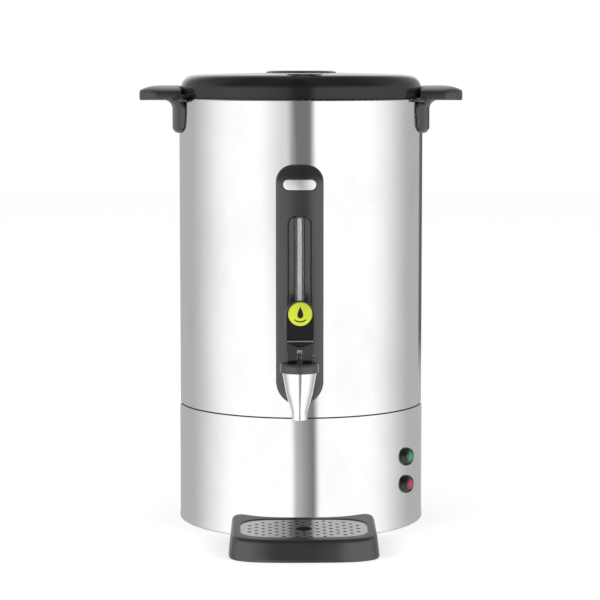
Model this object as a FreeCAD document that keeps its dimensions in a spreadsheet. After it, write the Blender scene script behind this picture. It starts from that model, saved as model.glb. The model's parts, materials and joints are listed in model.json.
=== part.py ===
import FreeCAD, Part
import math
import os
import re
import Sketcher
from FreeCAD import Placement, Rotation, Vector

# Coffee urn in millimetres. The origin is on the urn's axis at the level of the table,
# +Z is up and the tap points along -Y.

doc = FreeCAD.newDocument("CoffeeUrn")
NODES = []

SIZES = {
    # tank
    "body_radius": 115.5,
    "sheet_wall": 0.8,
    "rim_height": 401.6,
    "bead_radius": 1.4,
    "bead_drop": 1.2,
    "floor_rise": 5.5,
    "floor_round": 6.0,
    "well_radius": 36.0,
    "well_slope": 4.0,
    "well_depth": 5.0,
    # seam between the tank and the base
    "seam_height": 112.5,
    "seam_gap": 1.2,
    "ring_wall": 1.0,
    "ring_reach": 7.0,
    "seat_gap": 0.1,
    # base
    "skirt_step": 0.55,
    "flare_step": 0.65,
    "flare_height": 10.0,
    "hem_height": 1.0,
    "hem_width": 8.0,
    "plate_wall": 1.2,
    "plate_lift": 7.0,
    "pan_inset": 11.5,
    "air_slot_length": 26.0,
    "air_slot_width": 4.0,
    "air_slot_radius": 62.0,
    "air_slot_count": 8,
    "foot_radius": 10.0,
    "foot_inset": 16.0,
    "foot_count": 4,
    "foot_recess_radius": 5.0,
    "foot_recess_height": 4.0,
    "foot_screw_radius": 2.0,
    # lid
    "lid_inset": 1.7,
    "lid_gap": 0.4,
    "lid_side": 20.3,
    "crown_inset": 18.8,
    "crown_rise": 1.9,
    "dome_rise": 2.6,
    "lid_wall": 2.6,
    "lid_round": 12.0,
    "lid_lip": 1.5,
    "lid_lip_step": 0.5,
    "plug_inset": 6.9,
    "plug_wall": 2.4,
    "plug_depth": 9.0,
    "lid_cap_radius": 33.3,
    "lid_cap_draft": 2.5,
    "lid_cap_rise": 0.9,
    "lid_cap_seat": 1.2,
    "vent_length": 33.0,
    "vent_width": 18.5,
    "vent_inset": 19.3,
    "vent_depth": 3.0,
    "vent_slot_length": 12.0,
    "vent_slot_width": 2.0,
    "vent_slot_pitch": 6.0,
    "lid_turned": 2.4,
    "lug_rise": 5.8,
    "lug_lift": 0.9,
    "lug_wall": 2.6,
    "lug_start": 18.7,
    "lug_angle": 8.0,
    "seal_inset": 3.1,
    "seal_drop": 4.4,
    "seal_wall": 3.8,
    # handles
    "grip_length": 37.6,
    "grip_drop": 1.5,
    "grip_thickness": 12.9,
    "grip_edge_drop": 5.0,
    "grip_end_drop": 4.4,
    "grip_arc_run": 10.6,
    "grip_arc_radius": 46.0,
    "grip_half_width": 35.0,
    "grip_corner": 19.0,
    "grip_edge_round": 1.6,
    "flange_wall": 6.4,
    "flange_flare": 1.2,
    "flange_drop": 30.7,
    "flange_half_width": 43.5,
    "flange_foot_half_width": 33.0,
    "flange_foot_round": 9.0,
    "flange_bevel": 1.6,
    "web_round": 8.2,
    "tab_half_width": 53.0,
    "tab_drop": 1.7,
    "slot_under": 0.7,
    "slot_over": 1.1,
    "slot_behind": 3.9,
    "slot_end_angle": 1.0,
    "handle_screw_drop": 14.1,
    "handle_screw_spread": 15.0,
    "handle_screw_radius": 2.0,
    "handle_screw_depth": 4.4,
    # cover of the level gauge
    "cover_half_width": 21.5,
    "cover_fall": 22.4,
    "cover_drop": 58.3,
    "cover_corner": 15.0,
    "tube_sunk": 1.9,
    "cover_crown": 2.4,
    "cover_wall": 2.4,
    "cover_edge_round": 2.5,
    "window_half_width": 11.2,
    "window_drop": 45.2,
    "branch_gap": 1.0,
    "window_corner": 5.0,
    "window_backing": 1.9,
    "badge_drop": 17.4,
    "badge_length": 30.0,
    "badge_width": 9.5,
    "badge_wall": 1.0,
    "badge_sunk": 0.5,
    "cover_boss_gap": 2.7,
    "cover_boss_radius": 4.0,
    "cover_screw_radius": 1.6,
    # level gauge
    "tube_stand": 4.5,
    "tube_radius": 4.8,
    "tube_bore": 3.2,
    "tube_drop": 1.8,
    "tube_socket": 6.0,
    "branch_radius": 6.6,
    "branch_rise": 16.0,
    "gauge_seal_wall": 0.8,
    "tube_cap_length": 9.0,
    # tap
    "tap_clear": 3.1,
    "shank_rise": 31.0,
    "shank_radius": 8.0,
    "shank_bore": 4.4,
    "shank_inside": 12.0,
    "collar_radius": 12.5,
    "collar_wall": 4.6,
    "outer_gasket_wall": 2.5,
    "gasket_radius": 11.5,
    "gasket_wall": 2.0,
    "nut_flats": 24.0,
    "nut_length": 6.0,
    "bonnet_radius": 17.4,
    "bonnet_rise": 10.8,
    "bonnet_side": 8.2,
    "bonnet_top_wall": 4.4,
    "bonnet_round": 2.2,
    "bonnet_wall": 4.3,
    "spout_shoulder": 2.35,
    "spout_waist_radius": 12.1,
    "spout_waist_fall": 7.7,
    "spout_throat_radius": 7.7,
    "spout_throat_fall": 22.6,
    "spout_tip_radius": 6.9,
    "spout_fall": 32.1,
    "outlet_bore": 5.0,
    "outlet_depth": 9.0,
    "neck_wall": 2.7,
    "valve_seat_fall": 6.0,
    "seat_bore": 4.4,
    "cup_radius": 8.0,
    "cup_height": 6.0,
    "stem_radius": 1.4,
    "stem_flange_radius": 4.6,
    "stem_end": 2.4,
    "spring_radius": 6.4,
    "spring_wire": 0.5,
    "spring_turns": 5,
    "running_gap": 0.05,
    # lever
    "pivot_rise": 6.8,
    "pin_radius": 0.8,
    "pin_head_radius": 2.2,
    "pin_stand": 1.5,
    "pin_head_length": 1.2,
    "fork_half_width": 10.4,
    "fork_slot": 2.7,
    "fork_front": 8.0,
    "fork_back": 6.5,
    "fork_rise": 7.2,
    "heel_gap": 0.3,
    "lever_lip_rise": 12.5,
    "lever_lip_wall": 1.5,
    "heel_round": 4.0,
    "scoop_radius": 17.1,
    "scoop_drop": 4.0,
    "scoop_depth": 3.0,
    "lever_lip": 9.0,
    "lever_half_width": 13.2,
    "lever_rise": 50.0,
    "lever_lean": 2.6,
    "lever_wall": 6.0,
    "lever_rim": 1.2,
    "lever_turned": 4.5,
    "disc_gap": 0.9,
    "disc_drop": 12.3,
    "disc_wall": 0.8,
    "disc_sunk": 1.0,
    # pilot lamps
    "lamp_angle": 58.4,
    "green_drop": 44.5,
    "lamp_pitch": 26.1,
    "bezel_radius": 8.6,
    "bezel_rise": 4.6,
    "bezel_flange": 2.6,
    "bezel_depth": 14.0,
    "bezel_lip": 2.4,
    "lens_crown": 1.8,
    # rear connection panel
    "panel_half_width": 38.0,
    "panel_low": 24.0,
    "panel_high": 66.0,
    "panel_stand": 6.0,
    "panel_corner": 6.0,
    "panel_wall": 2.4,
    "inlet_offset": -15.0,
    "inlet_width": 27.2,
    "inlet_tall": 19.6,
    "inlet_mouth_width": 24.4,
    "inlet_mouth_tall": 16.6,
    "inlet_depth": 16.0,
    "inlet_wall": 1.8,
    "inlet_flange": 2.0,
    "pin_blade": 2.0,
    "pin_blade_tall": 4.0,
    "pin_pitch": 7.0,
    "rocker_offset": 20.0,
    "rocker_width": 11.0,
    "rocker_tall": 17.0,
    "rocker_angle": 8.0,
    "rocker_bezel": 2.0,
    "rocker_depth": 15.0,
    "rocker_pin_radius": 1.2,
    # heating and controls under the tank
    "heat_plate_radius": 78.0,
    "heat_plate_wall": 3.0,
    "element_radius": 60.0,
    "element_tube": 3.4,
    "element_gap_angle": 40.0,
    "thermostat_radius": 12.0,
    "thermostat_height": 11.0,
    "thermostat_reach": 48.0,
    "cutout_radius": 8.0,
    "cutout_height": 9.0,
    "block_length": 40.0,
    "block_width": 18.0,
    "block_height": 14.0,
    # percolator
    "pump_foot_radius": 30.0,
    "pump_foot_height": 9.0,
    "pump_foot_gap": 0.3,
    "pump_radius": 4.0,
    "pump_bore": 3.0,
    "pump_stand": 17.0,
    "basket_radius": 51.0,
    "basket_drop": 69.6,
    "basket_depth": 48.0,
    "basket_wall": 0.7,
    "basket_sleeve": 4.1,
    "basket_hole": 1.4,
    "stop_radius": 8.0,
    "stop_height": 3.0,
    "cover_disc_rise": 0.3,
    "cover_disc_hem": 6.0,
    # drip tray
    "tray_half_width": 67.0,
    "tray_draft": 2.3,
    "tray_ahead": 61.0,
    "tray_high": 23.1,
    "tray_fall": 3.7,
    "tray_turned": 1.4,
    "tray_corner": 24.0,
    "tray_back_corner": 8.0,
    "tray_wrap": 12.5,
    "tray_body_gap": 2.6,
    "tray_floor": 3.0,
    "tray_edge_round": 3.0,
    "grid_back_gap": 9.5,
    "grid_front_gap": 13.0,
    "grid_side_gap": 7.7,
    "grid_corner": 30.0,
    "grid_wall": 0.8,
    "grid_sunk": 1.8,
    "grid_ledge": 2.6,
    "grid_gap": 0.3,
    "grid_hole": 1.9,
    "grid_drain": 7.5,
    "grid_drain_ahead": 12.0,
    "grid_column_pitch": 6.05,
    "grid_row_pitch": 11.3,
    "grid_border": 4.2,
}

# Places that follow from other sizes
FOLLOWS = {
    "plate_pan_radius": "body_radius - pan_inset",
    "foot_circle": "plate_pan_radius - foot_inset",
    "tank_floor": "seam_height + floor_rise",
    "lid_radius": "body_radius - lid_inset",
    "lid_low": "rim_height + lid_gap",
    "lid_shoulder": "lid_low + lid_side",
    "lid_crown_radius": "lid_radius - crown_inset",
    "lid_crown": "lid_shoulder + crown_rise",
    "lid_high": "lid_crown + dome_rise",
    "plug_radius": "body_radius - plug_inset",
    "lid_cap_top_radius": "lid_cap_radius - lid_cap_draft",
    "vent_reach": "lid_radius - vent_inset",
    "lug_reach": "body_radius + lug_rise",
    "lug_low": "lid_low + lug_lift",
    "lug_high": "lug_low + lug_wall",
    "seal_radius": "body_radius - seal_inset",
    "seal_low": "rim_height - seal_drop",
    "seal_high": "seal_low + seal_wall",
    "grip_reach": "body_radius + grip_length",
    "grip_low": "rim_height - grip_drop",
    "grip_high": "grip_low + grip_thickness",
    "flange_reach": "body_radius + flange_wall",
    "flange_low": "grip_low - flange_drop",
    "tab_low": "grip_low - tab_drop",
    "slot_low": "lug_low - slot_under",
    "slot_high": "lug_high + slot_over",
    "slot_reach": "lug_reach + slot_behind",
    "handle_screw_height": "grip_low - handle_screw_drop",
    "cover_low": "shank_height - cover_fall",
    "cover_high": "rim_height - cover_drop",
    "cover_front": "tube_reach + tube_radius + tube_sunk",
    "window_high": "cover_high - window_drop",
    "window_low": "branch_high + branch_gap",
    "window_floor": "body_radius + window_backing",
    "badge_height": "cover_high - badge_drop",
    "cover_boss_height": "tube_high + tube_cap_length + cover_boss_radius + cover_boss_gap",
    "tube_reach": "body_radius + tube_radius + tube_stand",
    "tube_high": "window_high - tube_drop",
    "tube_seat": "branch_high - tube_socket",
    "branch_high": "shank_height + branch_rise",
    "tap_reach": "cover_front + bonnet_radius + tap_clear",
    "shank_height": "tank_floor + shank_rise",
    "shank_end": "body_radius - shank_inside",
    "collar_back": "body_radius + outer_gasket_wall",
    "collar_front": "collar_back + collar_wall",
    "bonnet_low": "shank_height + bonnet_rise",
    "bonnet_high": "bonnet_low + bonnet_side",
    "neck_radius": "bonnet_radius - bonnet_wall",
    "spout_top_radius": "neck_radius + spout_shoulder",
    "spout_waist_height": "shank_height - spout_waist_fall",
    "spout_throat_height": "shank_height - spout_throat_fall",
    "spout_low": "shank_height - spout_fall",
    "chamber_radius": "neck_radius - neck_wall",
    "valve_seat": "shank_height - valve_seat_fall",
    "stem_high": "pivot_height + stem_end",
    "pivot_height": "bonnet_high + pivot_rise",
    "pin_head_reach": "fork_half_width + pin_stand",
    "fork_high": "pivot_height + fork_rise",
    "lever_low": "bonnet_high + heel_gap",
    "lever_lip_height": "pivot_height + lever_lip_rise",
    "lever_high": "pivot_height + lever_rise",
    "disc_radius": "lever_half_width - lever_rim - disc_gap",
    "disc_height": "lever_high - disc_drop",
    "green_height": "seam_height - green_drop",
    "red_height": "green_height - lamp_pitch",
    "bezel_barrel": "bezel_radius - bezel_flange",
    "lens_radius": "bezel_radius - bezel_lip",
    "lens_rise": "bezel_rise + lens_crown",
    "panel_back": "body_radius + panel_stand",
    "basket_floor": "rim_height - basket_drop",
    "basket_high": "basket_floor + basket_depth",
    "pump_high": "basket_high + pump_stand",
    "tray_top_half_width": "tray_half_width - tray_draft",
    "tray_front": "tap_reach + tray_ahead",
    "tray_back_reach": "body_radius - tray_wrap",
    "grid_back": "body_radius + grid_back_gap",
    "grid_front": "tray_front - grid_front_gap",
    "grid_half_width": "tray_top_half_width - grid_side_gap",
    "grid_drain_reach": "tap_reach + grid_drain_ahead",
}


def fill_sheet():
    """One row for each driving dimension: its name, and its value in a cell with that alias."""
    sheet = doc.addObject("Spreadsheet::Sheet", "sizes")
    for row, (alias, value) in enumerate(SIZES.items(), 1):
        sheet.set(f"A{row}", alias)
        sheet.set(f"B{row}", str(value))
        sheet.setAlias(f"B{row}", alias)
    doc.recompute()
    return sheet


SHEET = fill_sheet()


def cells(expression):
    """The expression with each alias written as a cell of the sheet."""
    def cell(found):
        word = found.group()
        if word in FOLLOWS:
            return "(" + cells(FOLLOWS[word]) + ")"
        return "sizes." + word if word in SIZES else word
    return re.sub(r"[a-z_][a-z_0-9]*", cell, str(expression))


def size(expression):
    """The value of an expression in aliases."""
    return float(SHEET.evalExpression(cells(expression)))


def tie(thing, **bound):
    """Bind properties to cells; two underscores stand for a dot."""
    for name, expression in bound.items():
        thing.setExpression(name.replace("__", "."), cells(expression))
    return thing


def node(shape, label):
    """Keep a finished piece as a named node."""
    shape.Label = label
    NODES.append(shape)
    return shape


# Sketches: an outline is a list of corners (x, y) or (x, y, rounding), each an expression

def flat_sketch(body, role, offset="0"):
    sketch = body.newObject("Sketcher::SketchObject", body.Name + "_sketch")
    plane = [each for each in body.Origin.OriginFeatures if each.Role == role][0]
    sketch.AttachmentSupport = [(plane, "")]
    sketch.MapMode = "FlatFace"
    tie(sketch, AttachmentOffset__Base__z=offset)
    return sketch


def pin_point(sketch, piece, end, x, y):
    """Hold a point of the sketch at two expressions."""
    for kind, expression in (("DistanceX", x), ("DistanceY", y)):
        index = sketch.addConstraint(Sketcher.Constraint(kind, -1, 1, piece, end, size(expression)))
        sketch.setExpression(f"Constraints[{index}]", cells(expression))


def add_loop(sketch, corners):
    """A closed loop of lines, with tangent arcs at the corners that have a rounding."""
    count = len(corners)
    points = [Vector(size(each[0]), size(each[1]), 0) for each in corners]
    starts, ends, arcs = [], [], {}
    for i, corner in enumerate(corners):
        here, before, after = points[i], points[i - 1], points[(i + 1) % count]
        if len(corner) < 3 or size(corner[2]) == 0:
            starts.append(here)
            ends.append(here)
            continue
        back, ahead = (before - here).normalize(), (after - here).normalize()
        half = math.acos(max(-1.0, min(1.0, back.dot(ahead)))) / 2
        radius = size(corner[2])
        run = radius / math.tan(half)
        middle = here + (back + ahead).normalize() * (radius / math.sin(half))
        nearest = middle + (here - middle).normalize() * radius
        ends.append(here + back * run)
        starts.append(here + ahead * run)
        arcs[i] = Part.Arc(here + back * run, nearest, here + ahead * run)
    lines = [sketch.addGeometry(Part.LineSegment(starts[i], ends[(i + 1) % count])) for i in range(count)]
    for i, corner in enumerate(corners):
        line_in, line_out = lines[i - 1], lines[i]
        if i not in arcs:
            sketch.addConstraint(Sketcher.Constraint("Coincident", line_in, 2, line_out, 1))
            pin_point(sketch, line_out, 1, corner[0], corner[1])
            continue
        arc = sketch.addGeometry(arcs[i])
        turn = (points[i] - points[i - 1]).cross(points[(i + 1) % count] - points[i]).z
        first, last = (1, 2) if turn > 0 else (2, 1)
        sketch.addConstraint(Sketcher.Constraint("Tangent", line_in, 2, arc, first))
        sketch.addConstraint(Sketcher.Constraint("Tangent", line_out, 1, arc, last))
        index = sketch.addConstraint(Sketcher.Constraint("Radius", arc, size(corner[2])))
        sketch.setExpression(f"Constraints[{index}]", cells(corner[2]))
        tip = sketch.addGeometry(Part.Point(points[i]), True)
        pin_point(sketch, tip, 1, corner[0], corner[1])
        sketch.addConstraint(Sketcher.Constraint("PointOnObject", tip, 1, line_in))
        sketch.addConstraint(Sketcher.Constraint("PointOnObject", tip, 1, line_out))


def slab(name, role, start, thickness, *loops):
    """A pad from one of the origin planes: XY towards +Z, XZ towards -Y, YZ towards +X."""
    body = doc.addObject("PartDesign::Body", name)
    sketch = flat_sketch(body, role, start)
    for loop in loops:
        add_loop(sketch, loop)
    pad = body.newObject("PartDesign::Pad", name + "_pad")
    pad.Profile = sketch
    tie(pad, Length=thickness)
    return body


def turned(name, *loops, angle="360"):
    """A profile of radius and height turned about the Z axis; a part turn is centred on +X."""
    body = doc.addObject("PartDesign::Body", name)
    sketch = flat_sketch(body, "XZ_Plane")
    for loop in loops:
        add_loop(sketch, loop)
    spin = body.newObject("PartDesign::Revolution", name + "_turned")
    spin.Profile = sketch
    spin.ReferenceAxis = (sketch, ["V_Axis"])
    spin.Midplane = angle != "360"
    tie(spin, Angle=angle)
    return body


def rounded(body, radius, wanted):
    """A fillet on the edges of a body for which the test holds."""
    doc.recompute()
    base = body.Tip
    names = [f"Edge{i}" for i, edge in enumerate(base.Shape.Edges, 1) if wanted(edge)]
    fillet = body.newObject("PartDesign::Fillet", body.Name + "_fillet")
    fillet.Base = (base, names)
    tie(fillet, Radius=radius)
    return body


def box(name, low, high):
    block = doc.addObject("Part::Box", name)
    tie(block, Length=f"({high[0]}) - ({low[0]})", Width=f"({high[1]}) - ({low[1]})",
        Height=f"({high[2]}) - ({low[2]})")
    return tie(block, Placement__Base__x=low[0], Placement__Base__y=low[1], Placement__Base__z=low[2])


AXES = {
    "up": Rotation(),
    "front": Rotation(Vector(1, 0, 0), 90),
    "right": Rotation(Vector(0, 1, 0), 90),
}


def rod(name, radius, length, at, along="up", angle=None):
    """A cylinder from the point at, along +Z, -Y or +X."""
    bar = doc.addObject("Part::Cylinder", name)
    bar.Placement = Placement(Vector(), AXES[along])
    tie(bar, Radius=radius, Height=length)
    if angle:
        tie(bar, Angle=angle)
    return tie(bar, Placement__Base__x=at[0], Placement__Base__y=at[1], Placement__Base__z=at[2])


def place(thing, at=("0", "0", "0"), axis=Vector(0, 0, 1), angle="0"):
    """Move a piece to a point and turn it about an axis by an angle in degrees."""
    thing.Placement = Placement(Vector(), Rotation(axis, 1))
    return tie(thing, Placement__Base__x=at[0], Placement__Base__y=at[1], Placement__Base__z=at[2],
               Placement__Rotation__Angle=angle)


def fuse(name, *things):
    joined = doc.addObject("Part::MultiFuse", name)
    joined.Shapes = list(things)
    joined.Refine = True
    return joined


def common(name, *things):
    shared = doc.addObject("Part::MultiCommon", name)
    shared.Shapes = list(things)
    shared.Refine = True
    return shared


def cut(name, base, *tools):
    result = doc.addObject("Part::Cut", name)
    result.Base = base
    result.Tool = tools[0] if len(tools) == 1 else fuse(name + "_tools", *tools)
    result.Refine = True
    return result


def group(name, things):
    """Separate solids in one node."""
    together = doc.addObject("Part::Compound", name)
    together.Links = list(things)
    return together


def polar(name, count, radius, start, make):
    """Copies made by a function, at even steps round the axis; start is the first one's angle."""
    things = []
    for i in range(int(size(count))):
        angle = f"({start}) + {i} * 360 / ({count})"
        x, y = f"({radius}) * cos({angle})", f"({radius}) * sin({angle})"
        things.append(make(f"{name}_{i + 1}", x, y, angle))
    return things


def tangent_box(name, x, y, angle, length, width, low, high):
    """A block whose long side lies across the radius."""
    block = doc.addObject("Part::Box", name)
    tie(block, Length=width, Width=length, Height=f"({high}) - ({low})")
    block.Placement = Placement(Vector(), Rotation(Vector(0, 0, 1), 1))
    return tie(block, Placement__Base__x=f"{x} - ({width}) / 2 * cos({angle}) + ({length}) / 2 * sin({angle})",
               Placement__Base__y=f"{y} - ({width}) / 2 * sin({angle}) - ({length}) / 2 * cos({angle})",
               Placement__Base__z=low, Placement__Rotation__Angle=angle)


def handle_screw_places():
    """Height and sideways place of the two screws of a handle."""
    return [("handle_screw_height", "-handle_screw_spread"), ("handle_screw_height", "handle_screw_spread")]


# Tank and base

def tank():
    low = "seam_height + seam_gap / 2"
    inner = "body_radius - sheet_wall"
    dry = "body_radius - sheet_wall"
    shell = turned("tank_shell", [
        ("body_radius", low),
        ("body_radius", "rim_height", "bead_radius * 0.98"),
        ("body_radius - 2 * bead_radius", "rim_height", "bead_radius * 0.98"),
        ("body_radius - 2 * bead_radius", "rim_height - bead_radius - bead_drop"),
        (inner, "rim_height - bead_radius - bead_drop"),
        (inner, "tank_floor + sheet_wall", "floor_round"),
        ("well_radius", "tank_floor + sheet_wall"),
        ("well_radius - well_slope", "tank_floor + sheet_wall - well_depth"),
        ("0", "tank_floor + sheet_wall - well_depth"),
        ("0", "tank_floor - well_depth"),
        ("well_radius - well_slope", "tank_floor - well_depth"),
        ("well_radius", "tank_floor"),
        (dry, "tank_floor"),
        (dry, low),
    ])
    tap_hole = rod("tank_tap_hole", "shank_radius + 0.2", "30", ("0", "-100", "shank_height"), "front")
    holes = [rod(f"tank_handle_hole_{i}", "handle_screw_radius + 0.2", "2 * body_radius + 10",
                 ("-body_radius - 5", across, height), "right")
             for i, (height, across) in enumerate(handle_screw_places(), 1)]
    cover_hole = rod("tank_cover_hole", "cover_screw_radius + 0.2", "30", ("0", "-100", "cover_boss_height"),
                     "front")
    node(cut("tank_cut", shell, tap_hole, cover_hole, *holes), "tank")


def base():
    outer = "body_radius - sheet_wall - seat_gap"
    ring = turned("base_ring_body", [
        (outer, "seam_height - ring_reach"), (outer, "tank_floor - 0.2"),
        (f"{outer} - ring_wall", "tank_floor - 0.2"), (f"{outer} - ring_wall", "seam_height - ring_reach"),
    ])
    node(ring, "base_ring")
    top = "seam_height - seam_gap / 2"
    wide = "body_radius + skirt_step"
    foot = f"{wide} + flare_step"
    skirt = turned("skirt_shell", [
        (wide, top), (wide, "flare_height"), (foot, "hem_height", "1.5"),
        (f"{foot} - hem_width", "hem_height"), (f"{foot} - hem_width", "hem_height + sheet_wall"),
        (f"{foot} - sheet_wall - 0.1", "hem_height + sheet_wall"), (f"{wide} - sheet_wall", "flare_height"),
        (f"{wide} - sheet_wall", f"{top} - sheet_wall"), (f"{outer} + 0.1", f"{top} - sheet_wall"),
        (f"{outer} + 0.1", top),
    ])
    lamp_holes = [radial(rod(f"lamp_hole_{i}", "bezel_barrel + 0.15", "30", ("0", "0", "0")),
                         "body_radius - 15", height)
                  for i, height in enumerate(("green_height", "red_height"), 1)]
    opening = box("skirt_opening",
                  ("inlet_offset - inlet_width / 2 - 2", "body_radius - 20", "panel_low + 6"),
                  ("rocker_offset + rocker_width / 2 + 4", "body_radius + 10", "panel_high - 6"))
    node(cut("skirt_cut", skirt, opening, *lamp_holes), "base_skirt")
    pan = turned("pan_shell", [
        (f"{foot} - sheet_wall - 1.2", "hem_height + sheet_wall"),
        (f"{foot} - sheet_wall - 1.2", "hem_height + sheet_wall + plate_wall"),
        ("plate_pan_radius", "hem_height + sheet_wall + plate_wall"),
        ("plate_pan_radius - 4", "plate_lift + plate_wall"),
        ("0", "plate_lift + plate_wall"), ("0", "plate_lift"),
        ("plate_pan_radius - 4 - plate_wall / 2", "plate_lift"),
        ("plate_pan_radius - plate_wall / 2", "hem_height + sheet_wall"),
    ])
    slots = polar("air_slot", "air_slot_count", "air_slot_radius", "22.5",
                  lambda name, x, y, angle: tangent_box(name, x, y, angle, "air_slot_length", "air_slot_width",
                                                        "plate_lift - 3", "plate_lift + 6"))
    screw_holes = polar("pan_hole", "foot_count", "foot_circle", "45",
                        lambda name, x, y, angle: rod(name, "foot_screw_radius + 0.1", "10",
                                                      (x, y, "plate_lift - 3")))
    node(cut("pan_cut", pan, *slots, *screw_holes), "bottom_plate")


def feet():
    def foot(name, x, y, angle):
        pad = turned(name, [
            ("foot_screw_radius + 0.1", "foot_recess_height"), ("foot_recess_radius", "foot_recess_height"),
            ("foot_recess_radius", "0"), ("foot_radius - 1.5", "0", "0.8"), ("foot_radius", "plate_lift"),
            ("foot_screw_radius + 0.1", "plate_lift"),
        ])
        return place(pad, (x, y, "0"))

    def screw(name, x, y, angle):
        bolt = turned(name, [
            ("0", "foot_recess_height - 2"), ("foot_recess_radius - 1", "foot_recess_height - 2", "0.8"),
            ("foot_recess_radius - 1", "foot_recess_height"), ("foot_screw_radius", "foot_recess_height"),
            ("foot_screw_radius", "plate_lift + plate_wall + 5"), ("0", "plate_lift + plate_wall + 5"),
        ])
        return place(bolt, (x, y, "0"))
    node(group("feet", polar("foot", "foot_count", "foot_circle", "45", foot)), "rubber_feet")
    node(group("screws_of_feet", polar("foot_screw", "foot_count", "foot_circle", "45", screw)), "foot_screws")


def radial(thing, reach, height):
    """Lay a piece made along +Z so that it points out of the skirt at the lamps' angle."""
    outward = Rotation(Vector(0, 0, 1), size("lamp_angle") - 90) * Rotation(Vector(0, 1, 0), 90)
    thing.Placement = Placement(Vector(), outward)
    return tie(thing, Placement__Base__x=f"({reach}) * sin(lamp_angle)",
               Placement__Base__y=f"-({reach}) * cos(lamp_angle)", Placement__Base__z=height)


# Lid

def lid():
    """A hollow moulding: rim, crowned top and the plug that drops into the tank."""
    shell = turned("lid_shell", [
        ("lid_radius - lid_lip_step", "lid_low"), ("lid_radius - lid_lip_step", "lid_low + lid_lip"),
        ("lid_radius", "lid_low + lid_lip"), ("lid_radius", "lid_shoulder", "lid_round"),
        ("lid_crown_radius", "lid_crown", "60"), ("0", "lid_high"), ("0", "lid_high - lid_wall"),
        ("lid_crown_radius", "lid_crown - lid_wall", "60"),
        ("plug_radius - plug_wall", "lid_shoulder + 0.3 - lid_wall"),
        ("plug_radius - plug_wall", "lid_low - plug_depth"), ("plug_radius", "lid_low - plug_depth", "1"),
        ("plug_radius", "lid_low"),
    ])
    seat = turned("cap_seat", [
        ("0", "lid_high - lid_cap_seat"), ("lid_cap_radius + 0.15", "lid_high - lid_cap_seat"),
        ("lid_cap_radius + 0.15", "lid_high + 5"), ("0", "lid_high + 5"),
    ])
    across, along = "vent_length / 2", "vent_width / 2"
    recess = slab("vent_recess", "XY_Plane", "lid_crown - vent_depth", "20", [
        (f"-{across}", f"-{along}", f"{along} * 0.96"), (across, f"-{along}", f"{along} * 0.96"),
        (across, along, f"{along} * 0.96"), (f"-{across}", along, f"{along} * 0.96"),
    ])
    boss = slab("vent_boss", "XY_Plane", "lid_crown - vent_depth - lid_wall", "lid_wall + 2", [
        (f"-{across} - 2", f"-{along} - 2", f"{along} * 0.96"), (f"{across} + 2", f"-{along} - 2", f"{along} * 0.96"),
        (f"{across} + 2", f"{along} + 2", f"{along} * 0.96"), (f"-{across} - 2", f"{along} + 2", f"{along} * 0.96"),
    ])
    slots = [box(f"vent_slot_{i + 2}",
                 (f"{i} * vent_slot_pitch - vent_slot_width / 2", "-vent_slot_length / 2", "lid_low"),
                 (f"{i} * vent_slot_pitch + vent_slot_width / 2", "vent_slot_length / 2", "lid_high + 5"))
             for i in (-1, 0, 1)]
    for thing in (recess, boss):
        place(thing, ("vent_reach * sin(lid_turned)", "-vent_reach * cos(lid_turned)", "0"), angle="lid_turned")
    slot_set = place(group("vent_slots", slots),
                     ("vent_reach * sin(lid_turned)", "-vent_reach * cos(lid_turned)", "0"), angle="lid_turned")
    lugs = [lug(f"lug_{i + 1}", f"{i} * 180") for i in (0, 1)]
    body = cut("lid_hollowed", fuse("lid_solid", shell, boss, *lugs), seat, recess, slot_set)
    node(body, "lid")
    cap = turned("lid_cap_body", [
        ("0", "lid_high - lid_cap_seat"), ("lid_cap_radius", "lid_high - lid_cap_seat"),
        ("lid_cap_radius", "lid_high - 0.2"), ("lid_cap_top_radius", "lid_high + lid_cap_rise", "1"),
        ("0", "lid_high + lid_cap_rise"),
    ])
    node(cap, "lid_centre_cap")
    seal = turned("lid_seal_body", [
        ("plug_radius + 0.1", "seal_low"), ("seal_radius - 1.2", "seal_low"),
        ("seal_radius", "(seal_low + seal_high) / 2", "1"), ("seal_radius - 1.2", "seal_high"),
        ("plug_radius + 0.1", "seal_high"),
    ])
    node(seal, "lid_seal")


def sector(name, radius, low, high, start, angle):
    """A slice of a cylinder about the axis, from the start angle on."""
    wedge = rod(name, radius, f"({high}) - ({low})", ("0", "0", low), angle=angle)
    wedge.Placement = Placement(Vector(), Rotation(Vector(0, 0, 1), 1))
    return tie(wedge, Placement__Base__z=low, Placement__Rotation__Angle=start)


def lug(name, turn):
    """A bayonet lug on the lid's rim, just outside its slot in the handle."""
    start = f"{turn} + lug_start"
    outer = sector(name + "_outer", "lug_reach", "lug_low", "lug_high", start, "lug_angle")
    inner = sector(name + "_inner", "lid_radius - 2", "lug_low - 1", "lug_high + 1", f"{start} - 1",
                   "lug_angle + 2")
    return cut(name, outer, inner)


# Handles: built on the +X side; the other one is the same piece turned half round

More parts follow.
